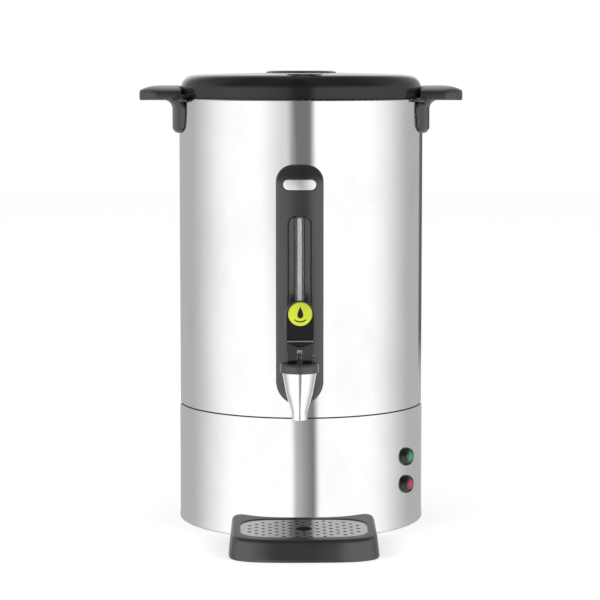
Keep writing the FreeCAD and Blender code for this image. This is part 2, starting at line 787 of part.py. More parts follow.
def handle(name, label, turn):
    bore = "body_radius + seat_gap"
    reach, half = "grip_reach", "grip_half_width"
    plan = slab(name + "_plan", "XY_Plane", "grip_low", "grip_high - grip_low + 1", [
        ("90", f"-{half}"), (reach, f"-{half}", "grip_corner"), (reach, half, "grip_corner"), ("90", half),
    ])
    side = slab(name + "_side", "XZ_Plane", f"-{half} - 1", f"2 * {half} + 2", [
        ("90", "grip_low"), (reach, "grip_low", "grip_edge_round"), (reach, "grip_high - grip_end_drop", "grip_edge_round"),
        ("grip_reach - grip_arc_run", "grip_high", "grip_arc_radius"), ("90", "grip_high"),
    ])
    crown = slab(name + "_crown", "YZ_Plane", "90", "80", [
        (f"-{half} - 2", "grip_low - 1"), (f"{half} + 2", "grip_low - 1"),
        (f"{half} + 2", "grip_high - grip_edge_drop - 1"), ("12", "grip_high", "55"), ("-12", "grip_high", "55"),
        (f"-{half} - 2", "grip_high - grip_edge_drop - 1"),
    ])
    grip = common(name + "_grip", plan, side, crown)
    shield = slab(name + "_shield", "YZ_Plane", "80", "60", [
        ("-flange_foot_half_width", "flange_low", "flange_foot_round"),
        ("flange_foot_half_width", "flange_low", "flange_foot_round"),
        ("flange_half_width", "flange_low + 20", "30"), ("flange_half_width", "tab_low"),
        ("tab_half_width", "tab_low"), ("tab_half_width", "slot_low - 0.4"),
        ("-tab_half_width", "slot_low - 0.4"), ("-tab_half_width", "tab_low"),
        ("-flange_half_width", "tab_low"), ("-flange_half_width", "flange_low + 20", "30"),
    ])
    band = turned(name + "_band", [
        (bore, "flange_low"), ("flange_reach + flange_flare - flange_bevel", "flange_low"),
        ("flange_reach + flange_flare", "flange_low + flange_bevel"), ("flange_reach", "grip_low - web_round"),
        ("flange_reach", "slot_low"), (bore, "slot_low"),
    ], angle="180")
    flange = common(name + "_flange", shield, band)
    web_profile = turned(name + "_web_turned", [
        (bore, "grip_low - web_round - 3"), ("flange_reach", "grip_low - web_round - 3"),
        ("flange_reach", "grip_low", "web_round"), ("flange_reach + web_round + 3", "grip_low"),
        ("flange_reach + web_round + 3", "grip_low + 2"), (bore, "grip_low + 2"),
    ], angle="180")
    web = common(name + "_web", web_profile, plan_of_web(name))
    slot_end = "slot_end_angle"
    slot_out = sector(name + "_slot_out", "slot_reach", "slot_low", "slot_high", slot_end, "40")
    slot_in = sector(name + "_slot_in", "body_radius - 5", "slot_low - 1", "slot_high + 1", "slot_end_angle - 2", "44")
    slot = cut(name + "_slot", slot_out, slot_in)
    tank_bore = rod(name + "_bore", bore, "100", ("0", "0", "flange_low - 10"))
    screw_holes = [rod(f"{name}_hole_{i}", "handle_screw_radius + running_gap", "handle_screw_depth + 0.5 + 10",
                       ("body_radius - 10", across, height), "right")
                   for i, (height, across) in enumerate(handle_screw_places(), 1)]
    whole = cut(name, fuse(name + "_solid", grip, flange, web), tank_bore, slot, *screw_holes)
    place(whole, angle=turn)
    node(whole, label)


def plan_of_web(name):
    return box(name + "_web_box", ("90", "-grip_half_width + 0.5", "flange_low"),
               ("grip_reach - 5", "grip_half_width - 0.5", "grip_high - grip_edge_drop"))


def handle_screws():
    """Pan heads with washers inside the tank, threads in the handles."""
    screws = []
    for side in (0, 1):
        for i, (height, across) in enumerate(handle_screw_places(), 1):
            name = f"handle_screw_{side + 1}_{i}"
            shank = rod(name + "_shank", "handle_screw_radius", "handle_screw_depth + 3",
                        ("body_radius - 3", across, height), "right")
            head = rod(name + "_head", "handle_screw_radius * 2", "2.2", ("body_radius - 5.2", across, height),
                       "right")
            screws.append(place(fuse(name, shank, head), angle=f"{side} * 180"))
    node(group("screws_of_handles", screws), "handle_screws")


# Level gauge

def cover_outline(inset):
    """The cover's front outline, drawn in by the inset: rounded top corners and a round foot."""
    half = f"cover_half_width - {inset}"
    return [
        (f"-({half})", f"cover_low + {inset}", f"({half}) * 0.995"), (half, f"cover_low + {inset}", f"({half}) * 0.995"),
        (half, f"cover_high - {inset}", f"cover_corner - {inset}"),
        (f"-({half})", f"cover_high - {inset}", f"cover_corner - {inset}"),
    ]


def gauge_cover():
    block = slab("cover_block", "XZ_Plane", "90", "cover_front - 90", cover_outline("0"))
    crown = slab("cover_crown_prism", "XY_Plane", "cover_low - 1", "cover_high - cover_low + 2", [
        ("-cover_half_width - 1", "-80"), ("-cover_half_width - 1", "-cover_front + cover_crown", "cover_edge_round"),
        ("0", "-cover_front", "60"), ("cover_half_width + 1", "-cover_front + cover_crown", "cover_edge_round"),
        ("cover_half_width + 1", "-80"),
    ])
    outer = common("cover_outer", block, crown)
    tank_bore = rod("cover_bore", "body_radius + seat_gap", "cover_high", ("0", "0", "cover_low - 10"))
    hollow = slab("cover_hollow", "XZ_Plane", "90", "cover_front - cover_crown - cover_wall - 90",
                  cover_outline("cover_wall"))
    wall = box("window_walls",
               ("-window_half_width - cover_wall", "-200", "window_low - 2"),
               ("window_half_width + cover_wall", "-80", "window_high + tube_cap_length + cover_wall"))
    boss = rod("cover_boss", "cover_boss_radius", "60", ("0", "-90", "cover_boss_height"), "front")
    inner = cut("cover_inner", hollow, wall, boss)
    window = slab("window_tool", "XZ_Plane", "window_floor", "40", [
        ("-window_half_width", "window_low"), ("window_half_width", "window_low"),
        ("window_half_width", "window_high", "window_corner"), ("-window_half_width", "window_high", "window_corner"),
    ])
    cap_bore = rod("cap_bore", "tube_radius + 0.1", "tube_cap_length + 0.5", ("0", "-tube_reach", "window_high - 1"))
    tap_bore = rod("cover_tap_bore", "collar_radius + 0.4", "60", ("0", "-90", "shank_height"), "front")
    branch_room = box("branch_room", ("-branch_radius - 0.6", "-tube_reach - branch_radius - 0.4", "shank_height"),
                      ("branch_radius + 0.6", "-80", "window_low + 1"))
    long, wide = "(badge_length / 2 + 0.2)", "(badge_width / 2 + 0.2)"
    badge_seat = slab("badge_seat", "XZ_Plane", "cover_front - badge_wall - badge_sunk", "20", [
        (f"-({long})", f"badge_height - {wide}", f"({wide}) * 0.995"), (long, f"badge_height - {wide}", f"({wide}) * 0.995"),
        (long, f"badge_height + {wide}", f"({wide}) * 0.995"), (f"-({long})", f"badge_height + {wide}", f"({wide}) * 0.995"),
    ])
    screw_hole = rod("cover_screw_hole", "cover_screw_radius + running_gap", "14", ("0", "-body_radius + 3.5", "cover_boss_height"),
                     "front")
    node(cut("gauge_cover_cut", outer, tank_bore, inner, window, cap_bore, tap_bore, branch_room, badge_seat,
             screw_hole), "gauge_cover")
    long, wide = "badge_length / 2", "badge_width / 2"
    plate = slab("badge_plate", "XZ_Plane", "cover_front - badge_wall - badge_sunk", "badge_wall", [
        (f"-{long}", f"badge_height - {wide}", f"{wide} * 0.99"), (long, f"badge_height - {wide}", f"{wide} * 0.99"),
        (long, f"badge_height + {wide}", f"{wide} * 0.99"), (f"-{long}", f"badge_height + {wide}", f"{wide} * 0.99"),
    ])
    node(plate, "blank_badge")
    shank = rod("cover_screw_shank", "cover_screw_radius", "11", ("0", "-body_radius + 3", "cover_boss_height"),
                "front")
    head = rod("cover_screw_head", "cover_screw_radius * 2", "2", ("0", "-body_radius + 5", "cover_boss_height"),
               "front")
    node(fuse("cover_screw_body", shank, head), "cover_screw")


def gauge():
    low, lip = "tube_seat", "(tube_radius - tube_bore) * 0.45"
    tube = turned("tube_body", [
        ("tube_bore", low), ("tube_radius", low), ("tube_radius", "tube_high", lip), ("tube_bore", "tube_high", lip),
    ])
    node(place(tube, ("0", "-tube_reach", "0")), "gauge_tube")
    cap = turned("tube_cap_body", [
        ("0", "tube_high - 8"), ("tube_bore - 0.1", "tube_high - 8"), ("tube_bore - 0.1", "tube_high + 0.1"),
        ("tube_radius", "tube_high + 0.1"), ("tube_radius", "tube_high + tube_cap_length"),
        ("0", "tube_high + tube_cap_length"),
    ])
    node(place(cap, ("0", "-tube_reach", "0")), "gauge_top_plug")
    ring = turned("gauge_seal_body", [
        ("tube_radius + 0.05", "branch_high - 3"), ("tube_radius + gauge_seal_wall", "branch_high - 3"),
        ("tube_radius + gauge_seal_wall", "branch_high"), ("tube_radius + 0.05", "branch_high"),
    ])
    node(place(ring, ("0", "-tube_reach", "0")), "gauge_seal")


# Tap

def tap_body():
    funnel = turned("tap_funnel", [
        ("0", "spout_low"), ("spout_tip_radius", "spout_low", "0.4"),
        ("spout_tip_radius", "spout_throat_height - 3", "6"), ("spout_throat_radius + 0.3", "spout_throat_height + 1", "14"),
        ("spout_waist_radius", "spout_waist_height", "30"), ("spout_top_radius", "bonnet_low"),
        ("neck_radius", "bonnet_low"), ("neck_radius", "bonnet_high - bonnet_top_wall - 0.2"),
        ("0", "bonnet_high - bonnet_top_wall - 0.2"),
    ])
    place(funnel, ("0", "-tap_reach", "0"))
    shank = rod("tap_shank", "shank_radius", "tap_reach - shank_end", ("0", "-shank_end", "shank_height"), "front")
    collar = rod("tap_collar", "collar_radius", "collar_front - collar_back", ("0", "-collar_back", "shank_height"),
                 "front")
    branch = rod("tap_branch", "branch_radius", "branch_high - shank_height", ("0", "-tube_reach", "shank_height"))
    chamber = rod("tap_chamber", "chamber_radius", "40", ("0", "-tap_reach", "valve_seat"))
    seat_hole = rod("tap_seat_hole", "seat_bore", "40", ("0", "-tap_reach", "spout_low - 1"))
    outlet = rod("tap_outlet", "outlet_bore", "outlet_depth + 1", ("0", "-tap_reach", "spout_low - 1"))
    feed = rod("tap_feed", "shank_bore", "tap_reach - chamber_radius / 2 - shank_end + 1",
               ("0", "-shank_end + 1", "shank_height"), "front")
    riser = rod("tap_riser", "tube_bore", "branch_high", ("0", "-tube_reach", "shank_height"))
    socket = rod("tap_socket", "tube_radius + 0.05", "branch_high", ("0", "-tube_reach", "tube_seat"))
    seal_room = rod("tap_seal_room", "tube_radius + gauge_seal_wall", "20", ("0", "-tube_reach", "branch_high - 3"))
    node(cut("tap_cut", fuse("tap_solid", funnel, shank, collar, branch), chamber, seat_hole, outlet, feed, riser,
             socket, seal_room), "tap_body")


def tap_fixing():
    """Outer and inner gaskets shaped to the tank wall, and the nut inside."""
    def ring(name, front, back):
        disc = rod(name + "_disc", "gasket_radius", f"({front}) - ({back})", ("0", f"-({back})", "shank_height"),
                   "front")
        hole = rod(name + "_hole", "shank_radius + seat_gap", "60", ("0", "-90", "shank_height"), "front")
        return disc, hole
    disc, hole = ring("outer_gasket", "collar_back", "body_radius - 3")
    outside = rod("outer_gasket_wall", "body_radius + seat_gap", "60", ("0", "0", "shank_height - 30"))
    node(cut("outer_gasket_body", disc, hole, outside), "tap_outer_gasket")
    back = "body_radius - sheet_wall - gasket_wall"
    disc, hole = ring("inner_gasket", "body_radius", back)
    inside = rod("inner_gasket_wall", "body_radius - sheet_wall - seat_gap", "60", ("0", "0", "shank_height - 30"))
    node(common("inner_gasket_body", cut("inner_gasket_ring", disc, hole), inside), "tap_inner_gasket")
    flats = "nut_flats / 2"
    corner, half = "nut_flats / 2 / cos(30)", "nut_flats / 2 * tan(30)"
    nut = slab("tap_nut_slab", "XZ_Plane", f"{back} - nut_length", "nut_length", [
        (corner, "shank_height"), (half, f"shank_height + {flats}"), (f"-{half}", f"shank_height + {flats}"),
        (f"-{corner}", "shank_height"), (f"-{half}", f"shank_height - {flats}"), (half, f"shank_height - {flats}"),
    ])
    bore = rod("tap_nut_bore", "shank_radius + running_gap", "40", ("0", "-90", "shank_height"), "front")
    node(cut("tap_nut_body", nut, bore), "tap_nut")


def bonnet():
    ceiling = "bonnet_high - bonnet_top_wall"
    cap = turned("bonnet_body", [
        ("neck_radius + running_gap", "bonnet_low"), ("bonnet_radius", "bonnet_low", "0.6"),
        ("bonnet_radius", "bonnet_high", "bonnet_round"), ("stem_radius + running_gap", "bonnet_high"),
        ("stem_radius + running_gap", ceiling), ("neck_radius + running_gap", ceiling),
    ])
    node(place(cap, ("0", "-tap_reach", "0")), "tap_bonnet")


def valve():
    low, high = "valve_seat + running_gap", "valve_seat + running_gap + cup_height"
    cup = turned("valve_cup_body", [
        ("0", low), ("cup_radius - 1.5", low), ("cup_radius", f"{low} + 2", "0.8"), ("cup_radius - 2", high, "1.2"),
        ("stem_radius + 0.05", high), ("stem_radius + 0.05", f"{low} + 4"), ("stem_radius + 1.05", f"{low} + 4"),
        ("stem_radius + 1.05", f"{low} + 1.6"), ("0", f"{low} + 1.6"),
    ])
    node(place(cup, ("0", "-tap_reach", "0")), "valve_cup")
    stem = turned("valve_stem_body", [
        ("0", f"{low} + 1.8"), ("stem_radius + 1", f"{low} + 1.8"), ("stem_radius + 1", f"{low} + 3.9"),
        ("stem_radius", f"{low} + 3.9"), ("stem_radius", f"{high} + 0.1"), ("stem_flange_radius + 2.6", f"{high} + 0.1"),
        ("stem_flange_radius + 2.6", f"{high} + 1.1"), ("stem_radius", f"{high} + 1.1"),
        ("stem_radius", "stem_high", "0.5"), ("0", "stem_high"),
    ])
    place(stem, ("0", "-tap_reach", "0"))
    eye = rod("stem_eye", "pin_radius + running_gap", "10", ("-5", "-tap_reach", "pivot_height"), "right")
    node(swivelled(cut("valve_stem_cut", stem, eye)), "valve_stem")
    spring(f"{high} + 1.1", "bonnet_high - bonnet_top_wall")


def spring(low, high):
    """A closed coil of round wire between the stem's flange and the bonnet."""
    wire = size("spring_wire")
    bottom = size(low) + wire + 0.1
    length = size(high) - wire - 0.1 - bottom
    radius = size("spring_radius")
    path = Part.Wire(Part.makeHelix(length / size("spring_turns"), length, radius).Edges)
    ring = Part.Wire(Part.makeCircle(wire, Vector(radius, 0, 0), Vector(0, 1, 0)))
    coil = path.makePipeShell([ring], True, True)
    spring_piece = doc.addObject("Part::Feature", "valve_spring_coil")
    spring_piece.Shape = coil
    spring_piece.Placement = Placement(Vector(0, -size("tap_reach"), bottom), Rotation())
    node(spring_piece, "valve_spring")


# Lever of the tap; forward of its pin is towards -Y

def swivelled(thing):
    """Turn a piece of the lever about the tap's axis, on which the stem can swivel."""
    return place(group(thing.Name + "_turned", [thing]),
                 ("-tap_reach * sin(lever_turned)", "tap_reach * (cos(lever_turned) - 1)", "0"), angle="lever_turned")


def lever_profile(points):
    """Corners given as forward distance from the pin and height, for the YZ plane."""
    return [(f"-tap_reach - ({forward})", height, *more) for forward, height, *more in points]


def lever():
    face_top = "lever_lip + lever_lean"
    side = slab("lever_side", "YZ_Plane", "-20", "40", lever_profile([
        ("-fork_back", "lever_low"), ("-fork_back", "fork_high", "3"),
        ("lever_lip - lever_wall", "lever_lip_height + 2", "6"), (f"{face_top} - lever_wall", "lever_high + 0.1", "1.5"),
        (face_top, "lever_high + 0.1", "1.5"), ("lever_lip", "lever_lip_height"),
        ("fork_front", "lever_lip_height"), ("fork_front", "lever_low", "heel_round"),
    ]))
    front = slab("lever_front", "XZ_Plane", "tap_reach - 20", "50", [
        ("-fork_half_width", "lever_low - 1"), ("fork_half_width", "lever_low - 1"),
        ("lever_half_width - 0.2", "lever_lip_height", "20"), ("lever_half_width", "lever_high", "lever_half_width * 0.97"),
        ("-lever_half_width", "lever_high", "lever_half_width * 0.97"), ("-lever_half_width + 0.2", "lever_lip_height", "20"),
    ])
    blank = common("lever_blank", side, front)
    inner = "lever_half_width - lever_rim"
    recess_side = slab("recess_side", "YZ_Plane", "-20", "40", lever_profile([
        ("lever_lip - disc_sunk", "lever_lip_height + lever_lip_wall"), (f"{face_top} - disc_sunk", "lever_high + 0.1"),
        (f"{face_top} + 12", "lever_high + 0.1"), ("lever_lip + 12", "lever_lip_height + lever_lip_wall"),
    ]))
    recess_front = slab("recess_front", "XZ_Plane", "tap_reach - 20", "60", [
        (f"-({inner}) + 0.3", "lever_lip_height"), (f"{inner} - 0.3", "lever_lip_height"),
        (inner, "lever_high - lever_rim", f"({inner}) * 0.97"), (f"-({inner})", "lever_high - lever_rim", f"({inner}) * 0.97"),
    ])
    recess = common("lever_recess", recess_side, recess_front)
    slot = box("lever_slot", ("-fork_slot", "-tap_reach - 30", "lever_low - 2"),
               ("fork_slot", "-tap_reach + 30", "fork_high - 1.6"))
    scoop_disc = rod("scoop_disc", "scoop_radius", "20", ("0", "-tap_reach - fork_front + scoop_depth",
                                                          "lever_lip_height - scoop_drop + scoop_radius"), "front")
    scoop_box = box("scoop_box", ("-lever_half_width", "-tap_reach - fork_front - 20", "lever_low"),
                    ("lever_half_width", "-tap_reach", "lever_lip_height"))
    scoop = common("lever_scoop", scoop_disc, scoop_box)
    hole = rod("lever_hole", "pin_radius + running_gap / 2", "60", ("-30", "-tap_reach", "pivot_height"), "right")
    node(swivelled(cut("lever_cut", blank, recess, slot, scoop, hole)), "tap_lever")
    disc = rod("lever_disc_body", "disc_radius", "disc_wall", ("0", "0", "0"))
    lean = "atan(lever_lean / (lever_high - lever_lip_height))"
    forward = "lever_lip - disc_sunk + lever_lean * (disc_height - lever_lip_height) / (lever_high - lever_lip_height)"
    place(disc, ("0", f"-tap_reach - ({forward})", "disc_height"), Vector(1, 0, 0), f"90 deg + {lean}")
    node(swivelled(disc), "lever_disc")
    pin = rod("pin_shank", "pin_radius", "fork_half_width + pin_head_reach + 0.5",
              ("-fork_half_width", "-tap_reach", "pivot_height"), "right")
    head = rod("pin_head", "pin_head_radius", "pin_head_length", ("pin_head_reach", "-tap_reach", "pivot_height"), "right")
    node(swivelled(fuse("pin_body", pin, head)), "lever_pin")


# Pilot lamps

def lamps():
    for name, height in (("green", "green_height"), ("red", "red_height")):
        bezel = turned(name + "_bezel", [
            ("0", "-bezel_depth"), ("bezel_barrel", "-bezel_depth", "0.8"), ("bezel_barrel", "0"),
            ("bezel_radius", "0"), ("bezel_radius - 0.2", "bezel_rise * 0.5", "1.5"), ("lens_radius + 0.6", "bezel_rise", "0.7"),
            ("lens_radius + 0.1", "bezel_rise"), ("lens_radius + 0.1", "0.5"), ("0", "0.5"),
        ])
        node(radial(bezel, "body_radius + skirt_step + 0.05", height), name + "_lamp_body")
        lens = turned(name + "_lens", [
            ("0", "0.6"), ("lens_radius", "0.6"), ("lens_radius", "bezel_rise + 0.6", "2"), ("lens_radius * 0.45", "lens_rise", "3"),
            ("0", "lens_rise"),
        ])
        node(radial(lens, "body_radius + skirt_step + 0.05", height), name + "_lamp_lens")


# Connection panel at the back

def panel():
    corner = "panel_corner"
    half = "panel_half_width"
    block = slab("panel_block", "XZ_Plane", "-panel_back", "40", [
        (f"-{half}", "panel_low", corner), (half, "panel_low", corner), (half, "panel_high", corner),
        (f"-{half}", "panel_high", corner),
    ])
    skirt_bore = rod("panel_bore", "body_radius + skirt_step + seat_gap", "100", ("0", "0", "0"))
    middle = "(panel_low + panel_high) / 2"
    inlet_hole = box("inlet_hole",
                     ("inlet_offset - inlet_width / 2 - seat_gap", "60", f"{middle} - inlet_tall / 2 - seat_gap"),
                     ("inlet_offset + inlet_width / 2 + seat_gap", "200", f"{middle} + inlet_tall / 2 + seat_gap"))
    rocker_hole = box("rocker_hole",
                      ("rocker_offset - rocker_width / 2 - rocker_bezel + 0.6", "60", f"{middle} - rocker_tall / 2 - rocker_bezel + 0.6"),
                      ("rocker_offset + rocker_width / 2 + rocker_bezel - 0.6", "200", f"{middle} + rocker_tall / 2 + rocker_bezel - 0.6"))
    node(cut("panel_cut", block, skirt_bore, inlet_hole, rocker_hole), "rear_panel")
    inlet(middle)
    rocker(middle)


def inlet(middle):
    """A three-pin appliance inlet with an open mouth to the rear."""
    body = box("inlet_body", ("inlet_offset - inlet_width / 2", "panel_back - inlet_depth - inlet_wall", f"{middle} - inlet_tall / 2"),
               ("inlet_offset + inlet_width / 2", "panel_back", f"{middle} + inlet_tall / 2"))
    flange = box("inlet_lip", ("inlet_offset - inlet_width / 2 - 1.8", "panel_back", f"{middle} - inlet_tall / 2 - 1.8"),
                 ("inlet_offset + inlet_width / 2 + 1.8", "panel_back + inlet_flange", f"{middle} + inlet_tall / 2 + 1.8"))
    wide, tall = "inlet_mouth_width / 2", "inlet_mouth_tall / 2"
    mouth = slab("inlet_mouth", "XZ_Plane", "-panel_back - inlet_flange - 1", "inlet_depth + inlet_flange + 1", [
        (f"inlet_offset - {wide}", f"{middle} - {tall}"), (f"inlet_offset + {wide}", f"{middle} - {tall}"),
        (f"inlet_offset + {wide}", f"{middle} + {tall} - 5"), (f"inlet_offset + {wide} - 5", f"{middle} + {tall}"),
        (f"inlet_offset - {wide} + 5", f"{middle} + {tall}"), (f"inlet_offset - {wide}", f"{middle} + {tall} - 5"),
    ])
    node(cut("inlet_cut", fuse("inlet_solid", body, flange), mouth), "mains_inlet")
    pins = []
    for i, (across, up) in enumerate(((-1, -1.5), (0, 2), (1, -1.5)), 1):
        x, z = f"inlet_offset + {across} * pin_pitch", f"{middle} + {up}"
        pins.append(box(f"inlet_pin_{i}", (f"{x} - pin_blade / 2", "panel_back - inlet_depth", f"{z} - pin_blade_tall / 2"),
                        (f"{x} + pin_blade / 2", "panel_back - 2", f"{z} + pin_blade_tall / 2")))
    node(group("pins_of_inlet", pins), "inlet_pins")


def rocker(middle):
    wide, tall = "rocker_width / 2", "rocker_tall / 2"
    rim = box("switch_rim", (f"rocker_offset - {wide} - rocker_bezel", "panel_back", f"{middle} - {tall} - rocker_bezel"),
              (f"rocker_offset + {wide} + rocker_bezel", "panel_back + 1.6", f"{middle} + {tall} + rocker_bezel"))
    can = box("switch_can", (f"rocker_offset - {wide} - 1.2", "panel_back - rocker_depth", f"{middle} - {tall} - 1.2"),
              (f"rocker_offset + {wide} + 1.2", "panel_back", f"{middle} + {tall} + 1.2"))
    room = box("switch_room", (f"rocker_offset - {wide} - 0.3", "panel_back - 7", f"{middle} - {tall} - 0.8"),
               (f"rocker_offset + {wide} + 0.3", "panel_back + 10", f"{middle} + {tall} + 0.8"))
    node(cut("switch_cut", fuse("switch_solid", rim, can), room), "switch_housing")
    tip = f"({tall}) * tan(rocker_angle)"
    bar = slab("rocker_bar", "YZ_Plane", f"-({wide})", "rocker_width", [
        (f"2.6 + {tip}", tall), ("-3", f"{tall} - 1.5"), ("-3", f"-{tall} + 1.5"), (f"2.6 + {tip}", f"-({tall})"),
        ("2.6", "0", "30"),
    ])
    trunnions = rod("rocker_trunnions", "rocker_pin_radius", "rocker_width + 0.4", ("-rocker_width / 2 - 0.2", "0", "0"),
                    "right")
    whole = fuse("rocker_body", bar, trunnions)
    node(place(whole, ("rocker_offset", "panel_back", middle), Vector(1, 0, 0), "rocker_angle"), "switch_rocker")


# Heating and controls, fixed under the tank

def heating():
    top = "tank_floor - 0.1"
    plate = turned("heat_plate_body", [
        ("well_radius + 2", f"{top} - heat_plate_wall"), ("heat_plate_radius", f"{top} - heat_plate_wall"),
        ("heat_plate_radius", top), ("well_radius + 2", top),
    ])
    node(plate, "heat_plate")
    level = f"{top} - heat_plate_wall - 0.1 - element_tube"
    loop = doc.addObject("Part::Torus", "element_loop")
    tie(loop, Radius1="element_radius", Radius2="element_tube", Angle3="360 - element_gap_angle")
    place(loop, ("0", "0", level), angle="90 + element_gap_angle / 2")
    ends = polar("element_end", "2", "element_radius", "0",
                 lambda name, x, y, angle: rod(name, "element_tube", "16", ("0", "0", f"{level} - 16")))
    for sign, end in zip((-1, 1), ends):
        place(end, (f"{sign} * element_radius * sin(element_gap_angle / 2)",
                    "element_radius * cos(element_gap_angle / 2)", f"{level} - 16"))
    balls = []
    for i, sign in enumerate((-1, 1), 1):
        ball = tie(doc.addObject("Part::Sphere", f"element_bend_{i}"), Radius="element_tube")
        balls.append(place(ball, (f"{sign} * element_radius * sin(element_gap_angle / 2)",
                                  "element_radius * cos(element_gap_angle / 2)", level)))
    node(fuse("element_body", loop, *ends, *balls), "heating_element")
    node(rod("thermostat_body", "thermostat_radius", "thermostat_height",
             ("-thermostat_reach * 0.87 + 18", "0", f"tank_floor - well_depth - 0.1 - thermostat_height")), "thermostat")
    node(rod("cutout_body", "cutout_radius", "cutout_height",
             ("16", "8", "tank_floor - well_depth - 0.1 - cutout_height")), "thermal_cutout")
    floor = "plate_lift + plate_wall"
    block = box("block_body", ("-block_length / 2", "-block_width / 2", floor),
                ("block_length / 2", "block_width / 2", f"{floor} + block_height"))
    node(block, "terminal_block")


# Percolator insert

def percolator():
    low = "tank_floor + sheet_wall - well_depth + pump_foot_gap"
    tube = turned("pump_body", [
        ("pump_bore", f"{low} + pump_foot_height - 1"), ("pump_foot_radius - 1", f"{low}"), ("pump_foot_radius", low),
        ("pump_foot_radius", f"{low} + 1.2"), ("pump_radius", f"{low} + pump_foot_height + 1", "4"),
        ("pump_radius", "basket_floor - stop_height"), ("stop_radius", "basket_floor - stop_height"),
        ("stop_radius", "basket_floor"), ("pump_radius", "basket_floor"), ("pump_radius", "pump_high"),
        ("pump_bore", "pump_high"),
    ])
    node(tube, "pump_tube")
    sleeve = "basket_sleeve"
    pot = turned("basket_shell", [
        (sleeve, "basket_floor"), ("basket_radius", "basket_floor", "3"), ("basket_radius", "basket_high"),
        ("basket_radius - basket_wall", "basket_high"),
        ("basket_radius - basket_wall", "basket_floor + basket_wall", "2.3"),
        (f"{sleeve} + basket_wall", "basket_floor + basket_wall"), (f"{sleeve} + basket_wall", "basket_high - 6"),
        (sleeve, "basket_high - 6"),
    ])
    holes = []
    for ring, (radius, count) in enumerate((("14", 8), ("25", 12), ("36", 16)), 1):
        holes += polar(f"basket_hole_{ring}", count, radius, f"{ring} * 7",
                       lambda name, x, y, angle: tangent_box(name, x, y, angle, "2 * basket_hole", "2 * basket_hole",
                                                             "basket_floor - 2", "basket_floor + 3"))
    node(cut("basket_cut", pot, *holes), "filter_basket")
    under = "basket_high + cover_disc_rise"
    disc = turned("cover_disc_shell", [
        (sleeve, under), ("basket_radius + 1", under), ("basket_radius + 1", f"{under} - cover_disc_hem"),
        ("basket_radius + 1 + basket_wall", f"{under} - cover_disc_hem"), ("basket_radius + 1 + basket_wall", f"{under} + basket_wall", "0.6"),
        (sleeve, f"{under} + basket_wall"),
    ])
    drips = []
    for ring, (radius, count) in enumerate((("18", 8), ("38", 14)), 1):
        drips += polar(f"cover_drip_{ring}", count, radius, f"{ring} * 9",
                       lambda name, x, y, angle: tangent_box(name, x, y, angle, "2 * basket_hole", "2 * basket_hole",
                                                             f"{under} - 2", f"{under} + 3"))
    node(cut("cover_disc_cut", disc, *drips), "basket_cover")


# Drip tray

def tray():
    """A moulding that narrows towards its sloping top; its back follows the urn's foot."""
    half, front = "tray_half_width", "tray_front"
    body = slab("tray_block", "XY_Plane", "0", "tray_high + 3", [
        (f"-{half}", f"-{front}", "tray_corner"), (half, f"-{front}", "tray_corner"),
        (half, "-tray_back_reach", "tray_back_corner"), (f"-{half}", "-tray_back_reach", "tray_back_corner"),
    ])
    tie(body.Tip, TaperAngle="-1 * atan((tray_half_width - tray_top_half_width) / tray_high)")
    sliced(body, [
        ("-tray_front - 10", "tray_high - tray_fall * (tray_front + 10 - body_radius) / 100"),
        ("-tray_back_reach + 20", "tray_high - tray_fall * (tray_back_reach - 20 - body_radius) / 100"),
        ("-tray_back_reach + 20", "tray_high + 20"), ("-tray_front - 10", "tray_high + 20"),
    ])
    rounded(body, "tray_edge_round", lambda edge: min(v.Z - tray_top(v.Y) for v in edge.Vertexes) > -0.01)
    behind = rod("tray_urn_gap", "body_radius + skirt_step + flare_step + tray_body_gap", "100", ("0", "0", "-10"))
    basin = slab("tray_basin", "XY_Plane", "tray_floor", "60", grid_loop("-grid_ledge"))
    ledge = tilted(slab("tray_ledge", "XY_Plane", "-grid_sunk - grid_wall", "60", grid_loop("grid_gap")))
    node(place(cut("tray_cut", body, behind, basin, ledge), angle="tray_turned"), "drip_tray")
    node(place(group("grid_body", [tilted(grid())]), angle="tray_turned"), "drip_grid")


def tray_top(y):
    """Height of the tray's sloping top at a distance from the axis."""
    return size("tray_high") + size("tray_fall") / 100 * (y + size("body_radius"))


def sliced(body, corners):
    """Take away what lies inside a side profile of a body, right across it."""
    sketch = flat_sketch(body, "YZ_Plane")
    add_loop(sketch, corners)
    pocket = body.newObject("PartDesign::Pocket", body.Name + "_slice")
    pocket.Profile = sketch
    pocket.Type = "ThroughAll"
    pocket.Midplane = True
    return body


def tilted(thing):
    """Lay a piece made level on the tray's sloping top."""
    return place(thing, ("0", "0", "tray_high + tray_fall * body_radius / 100"), Vector(1, 0, 0),
                 "atan(tray_fall / 100)")


def grid_loop(grow):
    """The grid's outline, grown by an amount."""
    half, corner = f"grid_half_width + {grow}", f"grid_corner + {grow}"
    return [
        (f"-({half})", f"-grid_front - ({grow})", corner), (half, f"-grid_front - ({grow})", corner),
        (half, f"-grid_back + ({grow})", corner), (f"-({half})", f"-grid_back + ({grow})", corner),
    ]


